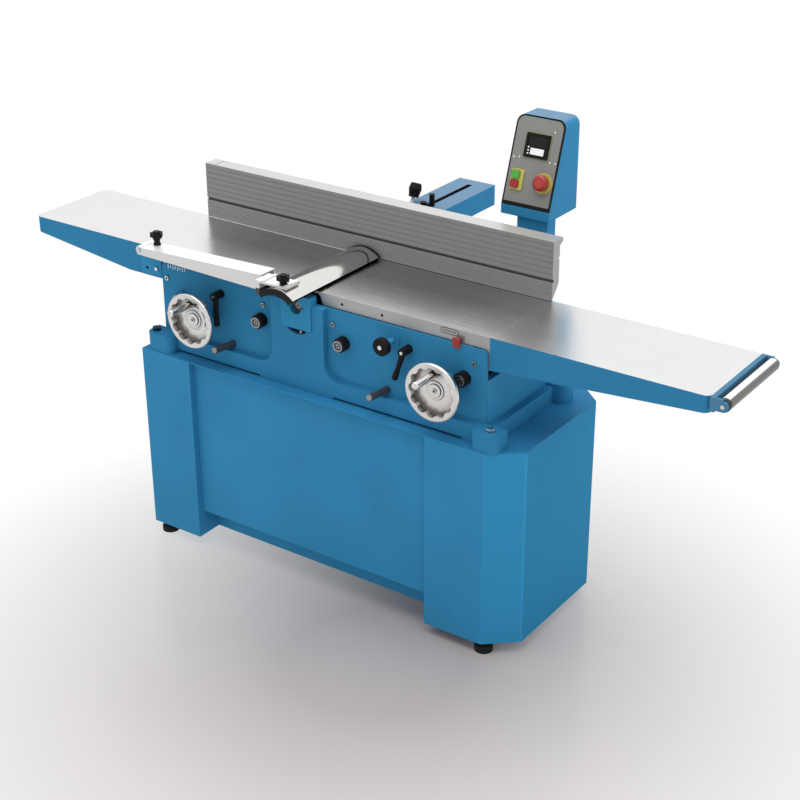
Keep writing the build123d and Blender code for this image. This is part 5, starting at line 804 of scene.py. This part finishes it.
def border(name, where, outside, inside, low, high, finish, body):
    """Flat border between two outlines of as many points."""
    count = len(outside)
    loops = [(outside, low), (outside, high), (inside, high), (inside, low)]
    points = [(x, y, height) for loop, height in loops for x, y in loop]
    faces = []
    for loop in range(4):
        here = loop * count
        there = ((loop + 1) % 4) * count
        for number in range(count):
            after = (number + 1) % count
            faces.append((here + number, here + after, there + after, there + number))
    fix(name, points, faces, where, finish, body)


def disc(name, where, radius, high, finish, body, steps=32):
    turns = [math.tau * number / steps for number in range(steps)]
    edge = [(radius * math.cos(turn), radius * math.sin(turn)) for turn in turns]
    plate(name, where, edge, 0.0, high, finish, body)


def trim_base():
    """Pins, screws with painted shade in their sockets, bar ends, painted shade in the hollow under the
    cutter and a scale with plain ticks.
    """
    for number, (x, z) in enumerate(PIN_SPOTS):
        foot = on_front(x, CHEEK_Y, z)
        front = on_front(x, CHEEK_Y - PIN_REACH, z)
        finish = "black" if number else "shaded_base_blue"
        ring(f"pin_sleeve_{number}", foot, *PIN_SLEEVE, 0.0, PIN_SLEEVE_LENGTH, finish, "base")
        ring(f"pin_rim_{number}", front, PIN_RIM, PIN_SLEEVE[0], 0.0, SKIN_RISE, "black", "base")
        disc(f"pin_centre_{number}", front, PIN_CENTRE, SKIN_RISE, "black", "base")
    for number, (x, z) in enumerate(SCREW_SPOTS):
        front = on_front(x, CHEEK_Y - SCREW_REACH, z)
        # Painted shade: a black disc in each screw's socket
        disc(f"screw_socket_shade_{number}", front, SCREW_SOCKET, SOCKET_RISE, "black", "base")
    rise = math.radians(BAR_LIFT)
    for number, (x, z) in enumerate(BAR_SPOTS):
        tip = spot(x, CHEEK_Y - BAR_REACH, z + BAR_REACH * math.tan(rise))
        where = axes(tip, (1, 0, 0), (0, math.sin(rise), math.cos(rise)))
        disc(f"bar_end_{number}", where, BAR_RADIUS, CAP_RISE, "dull_steel", "base")
    # Painted shade: a black sheet on the floor of the hollow under the cutter
    turns = [math.pi * number / LENS_STEPS for number in range(LENS_STEPS + 1)]
    lens = [(LENS_HALF * math.cos(turn), -LENS_DEPTH * math.sin(turn)) for turn in reversed(turns)]
    plate("lens_shade", on_front(*LENS_PLACE), lens, 0.0, SOCKET_RISE, "black", "base")
    for number in range(SCALE_TICKS):
        tick = outline(-TICK_HALF, TICK_FEET[number % 2], TICK_HALF, TICK_TOP, SHARP, steps=1)
        where = on_front(SCALE_START + SCALE_PITCH * number, CHEEK_Y, SCALE_Z)
        plate(f"scale_tick_{number}", where, tick, 0.0, SKIN_RISE, "white", "base")


def trim_ends():
    """Ends of pins, bolts and the cutter's shaft."""
    for name, place, radius, high, finish, body in ROUND_ENDS:
        disc(name, on_front(*place), radius, high, finish, body)
    shaft = on_front(*SHAFT_END)
    ring("shaft_face", shaft, SHAFT_CENTRE, SHAFT_RADIUS, 0.0, MARK_RISE, "dull_steel", "cutter")
    # Painted shade: the dark ring stands for the shade of the hole round the shaft's end
    ring("shaft_shoulder", shaft, SHAFT_RADIUS, SHAFT_SHOULDER, 0.0, SKIN_RISE, "dark_steel", "cutter")


def trim_levers():
    """Bright buttons in the middle of the clamp levers and the lock knob."""
    for x, z, body in LEVER_SPOTS:
        disc(f"{body}_button", on_front(x, LEVER_FRONT_Y, z), LEVER_BUTTON, BUTTON_RISE, "alloy", body)
    disc("lock_knob_button", on_front(*LOCK_FRONT), LOCK_BUTTON, CAP_RISE, "alloy", "lock_knob")


def trim_guard():
    """Painted shadow under the blade: a black strip along each long edge and a black sheet down to the
    table; and a dark face in front.
    """
    rear = on_front(0, BLADE_REAR_Y, 0)
    low, high = BLADE_EDGE_Z
    # Painted shadow: black strips along the blade's long edges
    for left, right in BLADE_EDGES:
        strip = outline(left, low, right, high, (0.5,) * 4, steps=2)
        plate(f"blade_edge_{int(left)}", rear, strip, 0.0, BLADE_EDGE_LENGTH, "painted_shadow", "guard_blade")
    # Painted shadow: a black sheet from the blade's right edge down to the table
    left, right = BLADE_EDGES[1]
    shadow_sheet = outline(left, SHADOW_SHEET_FOOT_Z, right, low, EASED, steps=1)
    plate("blade_shadow_sheet", rear, shadow_sheet, 0.0, SHADOW_SHEET_LENGTH, "painted_shadow", "guard_blade")
    front = on_front(0, BLADE_FRONT_Y, BLADE_CENTRE_Z)
    inner, outer = [BLADE_RADIUS + away for away in NOSE_BAND]
    ring("blade_nose", front, inner, outer, 0.0, SKIN_RISE, "rubber", "guard_blade",
         start=90.0 - BLADE_HALF_TURN, end=90.0 + BLADE_HALF_TURN)


def trim_fence():
    """Seam of the left end cap, and a sealing strip under the toe that is pale on the left and black on the
    right.
    """
    top = axes(spot(FENCE_SEAM_X, FENCE_FACE_Y, FENCE_TOP), (1, 0, 0), (0, 1, 0))
    seam = outline(-SEAM_HALF, 1.0, SEAM_HALF, FENCE_DEPTH, EASED, steps=1)
    plate("fence_seam", top, seam, 0.0, 0.2, "dark_steel", "fence")
    low, high = LEFT_SEAL_Z
    bright = outline(FENCE_ENDS[0] + SEAL_INSET, low, SEAL_CHANGE_X, high, (0.1,) * 4, steps=1)
    plate("fence_seal_left", on_front(0, FENCE_FACE_Y, 0), bright, 0.0, MARK_RISE, "pale_seal", "fence")
    low, high = RIGHT_SEAL_Z
    dark = outline(SEAL_CHANGE_X, low, FENCE_ENDS[1] - SEAL_INSET, high, (0.1,) * 4, steps=1)
    recess = on_front(0, FENCE_FACE_Y + TOE_RECESS, 0)
    plate("fence_seal_right", recess, dark, 0.0, RIGHT_SEAL_DEPTH, "black", "fence")


def trim_edge_plate():
    """Engraved oval with plain strokes on the front edge of the infeed table."""
    where = on_front(*OVAL_PLACE)
    loops = []
    for inset in (0.0, OVAL_LINE):
        across, up = [half - inset for half in OVAL_HALF]
        loops.append(outline(-across, -up, across, up, (up,) * 4))
    border("edge_oval", where, *loops, 0.0, MARK_RISE, "black", "infeed")
    for number in range(STROKES):
        left = STROKE_START + STROKE_PITCH * number
        stroke = outline(left, -STROKE_HALF, left + STROKE_WIDTH, STROKE_HALF, EASED, steps=1)
        plate(f"edge_stroke_{number}", where, stroke, 0.0, MARK_RISE, "black", "infeed")


def trim_wheels():
    """Turned lines and a screw on each handwheel, and a dial with plain ticks on the left one."""
    for x, body in WHEELS:
        face = on_front(x, WEB_FRONT_Y, WHEEL_Z)
        for number, (inner, outer, out) in enumerate(WHEEL_LINES, start=1):
            ring(f"{body}_line_{number}", face, inner, outer, out, out + SKIN_RISE, "dark_steel", body)
        hub = on_front(x, WEB_FRONT_Y - HUB_OUT, WHEEL_Z)
        disc(f"{body}_screw", hub, WHEEL_SCREW, MARK_RISE, "dark_steel", body)
    x, body = WHEELS[0]
    dial = on_front(x, WEB_FRONT_Y, WHEEL_Z)
    start, end = DIAL_TURN
    ring("dial_arc", dial, *DIAL_ARC, 0.0, SKIN_RISE, "black", body, start=start, end=end)
    for number in range(DIAL_TICKS):
        turn = dial @ Matrix.Rotation(math.tau * number / DIAL_TICKS, 4, "Z")
        tip = DIAL_TICK_FOOT + DIAL_TICK_LENGTHS[0 if number % 5 == 0 else 1]
        tick = outline(DIAL_TICK_FOOT, -DIAL_TICK_HALF, tip, DIAL_TICK_HALF, SHARP, steps=1)
        plate(f"dial_tick_{number}", turn, tick, 0.0, MARK_RISE, "black", body)


def trim_panel():
    """Gasket, screws, display and coloured surrounds on the control box."""
    inset = GASKET_INSET
    outside = outline(inset, inset, BOX_WIDTH - inset, FACE_LENGTH - inset,
                      (inset, inset, FACE_ROUND - inset, FACE_ROUND - inset))
    inside = outline(GASKET_SIDE, GASKET_FOOT, BOX_WIDTH - GASKET_SIDE, FACE_LENGTH - GASKET_SIDE,
                     (inset, inset, GASKET_ROUND, GASKET_ROUND))
    border("panel_gasket", on_panel(), outside, inside, -GASKET_DEPTH, MARK_RISE, "black", "base")
    for number, place in enumerate(PANEL_SCREWS):
        disc(f"panel_screw_{number}", on_panel(*place), PANEL_SCREW, SCREW_RISE, "alloy", "base")
    outside = outline(*DISPLAY_FRAME, (4,) * 4)
    inside = outline(*DISPLAY_OPENING, (3,) * 4)
    border("display_frame", on_panel(), outside, inside, 0.0, DISPLAY_FRAME_RISE, "olive", "base")
    display = on_panel(out=DISPLAY_OUT)
    plate("display_screen", display, outline(*DISPLAY_SCREEN, (2,) * 4), 0.0, CAP_RISE, "white", "base")
    plate("display_window", display, outline(*DISPLAY_WINDOW, (2,) * 4), 0.0, SKIN_RISE, "glass", "base")
    for number in range(DISPLAY_KEYS):
        where = on_panel(v=KEY_PITCH * number, out=DISPLAY_OUT)
        key = outline(*DISPLAY_KEY, (1.5,) * 4)
        plate(f"display_key_{number}", where, key, 0.0, KEY_RISE, "white", "base")
    surrounds = (
        ("start", START_SURROUND, (1, 1, 4, 4), START_HOLE),
        ("stop", STOP_SURROUND, (4, 4, 1, 1), STOP_HOLE),
    )
    for name, sides, rounds, hole in surrounds:
        outside = outline(*sides, rounds)
        inside = outline(*hole, (4,) * 4)
        border(f"{name}_surround", on_panel(), outside, inside, 0.0, SURROUND_RISE, "yellow", "base")
    ring("estop_surround", on_panel(*ESTOP_SPOT), *ESTOP_SURROUND, 0.0, SURROUND_RISE, "yellow", "base")
    cap = on_panel(*ESTOP_SPOT, ESTOP_RISE)
    disc("estop_cap", cap, ESTOP_CAP, BUTTON_RISE, "pale_red", "estop_button")


# Stage, light and camera

def make_floor():
    mesh = bpy.data.meshes.new("floor")
    corners = [(x * FLOOR_HALF, y * FLOOR_HALF, 0.0) for x, y in ((-1, -1), (1, -1), (1, 1), (-1, 1))]
    mesh.from_pydata(corners, [], [(0, 1, 2, 3)])
    floor = bpy.data.objects.new("floor", mesh)
    bpy.context.scene.collection.objects.link(floor)
    mat, tree, shader = blank("pale_floor")
    shader.inputs["Base Color"].default_value = (*FLOOR_GREY, 1.0)
    shader.inputs["Roughness"].default_value = FLOOR_ROUGH
    shader.inputs["Specular IOR Level"].default_value = FLOOR_SHINE
    ends = {0: place_of(tree), 1: FLOOR_MIDDLE}
    distance = add(tree, "VectorMath", ends, operation="DISTANCE").outputs["Value"]
    far = span(tree, distance, 0.0, 1.0, *FLOOR_FADE)
    white = add(tree, "Emission", {"Color": (1.0, 1.0, 1.0, 1.0), "Strength": 1.0})
    both = add(tree, "MixShader", {0: far, 1: shader.outputs[0], 2: white.outputs[0]})
    feed(tree, tree.nodes["Material Output"].inputs["Surface"], both.outputs[0])
    mesh.materials.append(mat)


def make_light():
    world = bpy.data.worlds.new("studio")
    world.use_nodes = True
    tree = world.node_tree
    sky = tree.nodes["Background"]
    sky.inputs["Color"].default_value = (1.0, 1.0, 1.0, 1.0)
    light = add(tree, "LightPath")
    up = add(tree, "SeparateXYZ", {"Vector": add(tree, "TexCoord").outputs["Generated"]}).outputs["Z"]
    gloss = span(tree, up, HORIZON_GLOSS, SKY_GLOSS, 0.0, GLOSS_RISE)
    strength = add(tree, "Mix", {0: light.outputs["Is Glossy Ray"], 2: SKY_LIGHT, 3: gloss}).outputs[0]
    strength = maths(tree, "MAXIMUM", strength, light.outputs["Is Camera Ray"])
    feed(tree, sky.inputs["Strength"], strength)
    bpy.context.scene.world = world
    lamp = bpy.data.lights.new("overhead", "AREA")
    lamp.shape = "SQUARE"
    lamp.size = TOP_LIGHT_SIZE
    lamp.energy = TOP_LIGHT_POWER
    overhead = bpy.data.objects.new("overhead", lamp)
    overhead.location = TOP_LIGHT_PLACE
    bpy.context.scene.collection.objects.link(overhead)


def make_camera():
    camera = bpy.data.objects.new("camera", bpy.data.cameras.new("camera"))
    camera.data.lens = CAMERA_LENS
    turn = Matrix.Rotation(math.radians(CAMERA_AZIMUTH), 4, "Z")
    tip = Matrix.Rotation(math.radians(90.0 - CAMERA_ELEVATION), 4, "X")
    roll = Matrix.Rotation(math.radians(CAMERA_ROLL), 4, "Z")
    camera.matrix_world = Matrix.Translation(CAMERA_PLACE) @ turn @ tip @ roll
    bpy.context.scene.collection.objects.link(camera)
    bpy.context.scene.camera = camera


dress_nodes()
trim_base()
trim_ends()
trim_levers()
trim_guard()
trim_fence()
trim_edge_plate()
trim_wheels()
trim_panel()
make_floor()
make_light()
make_camera()
bpy.context.scene.view_settings.view_transform = "Standard"
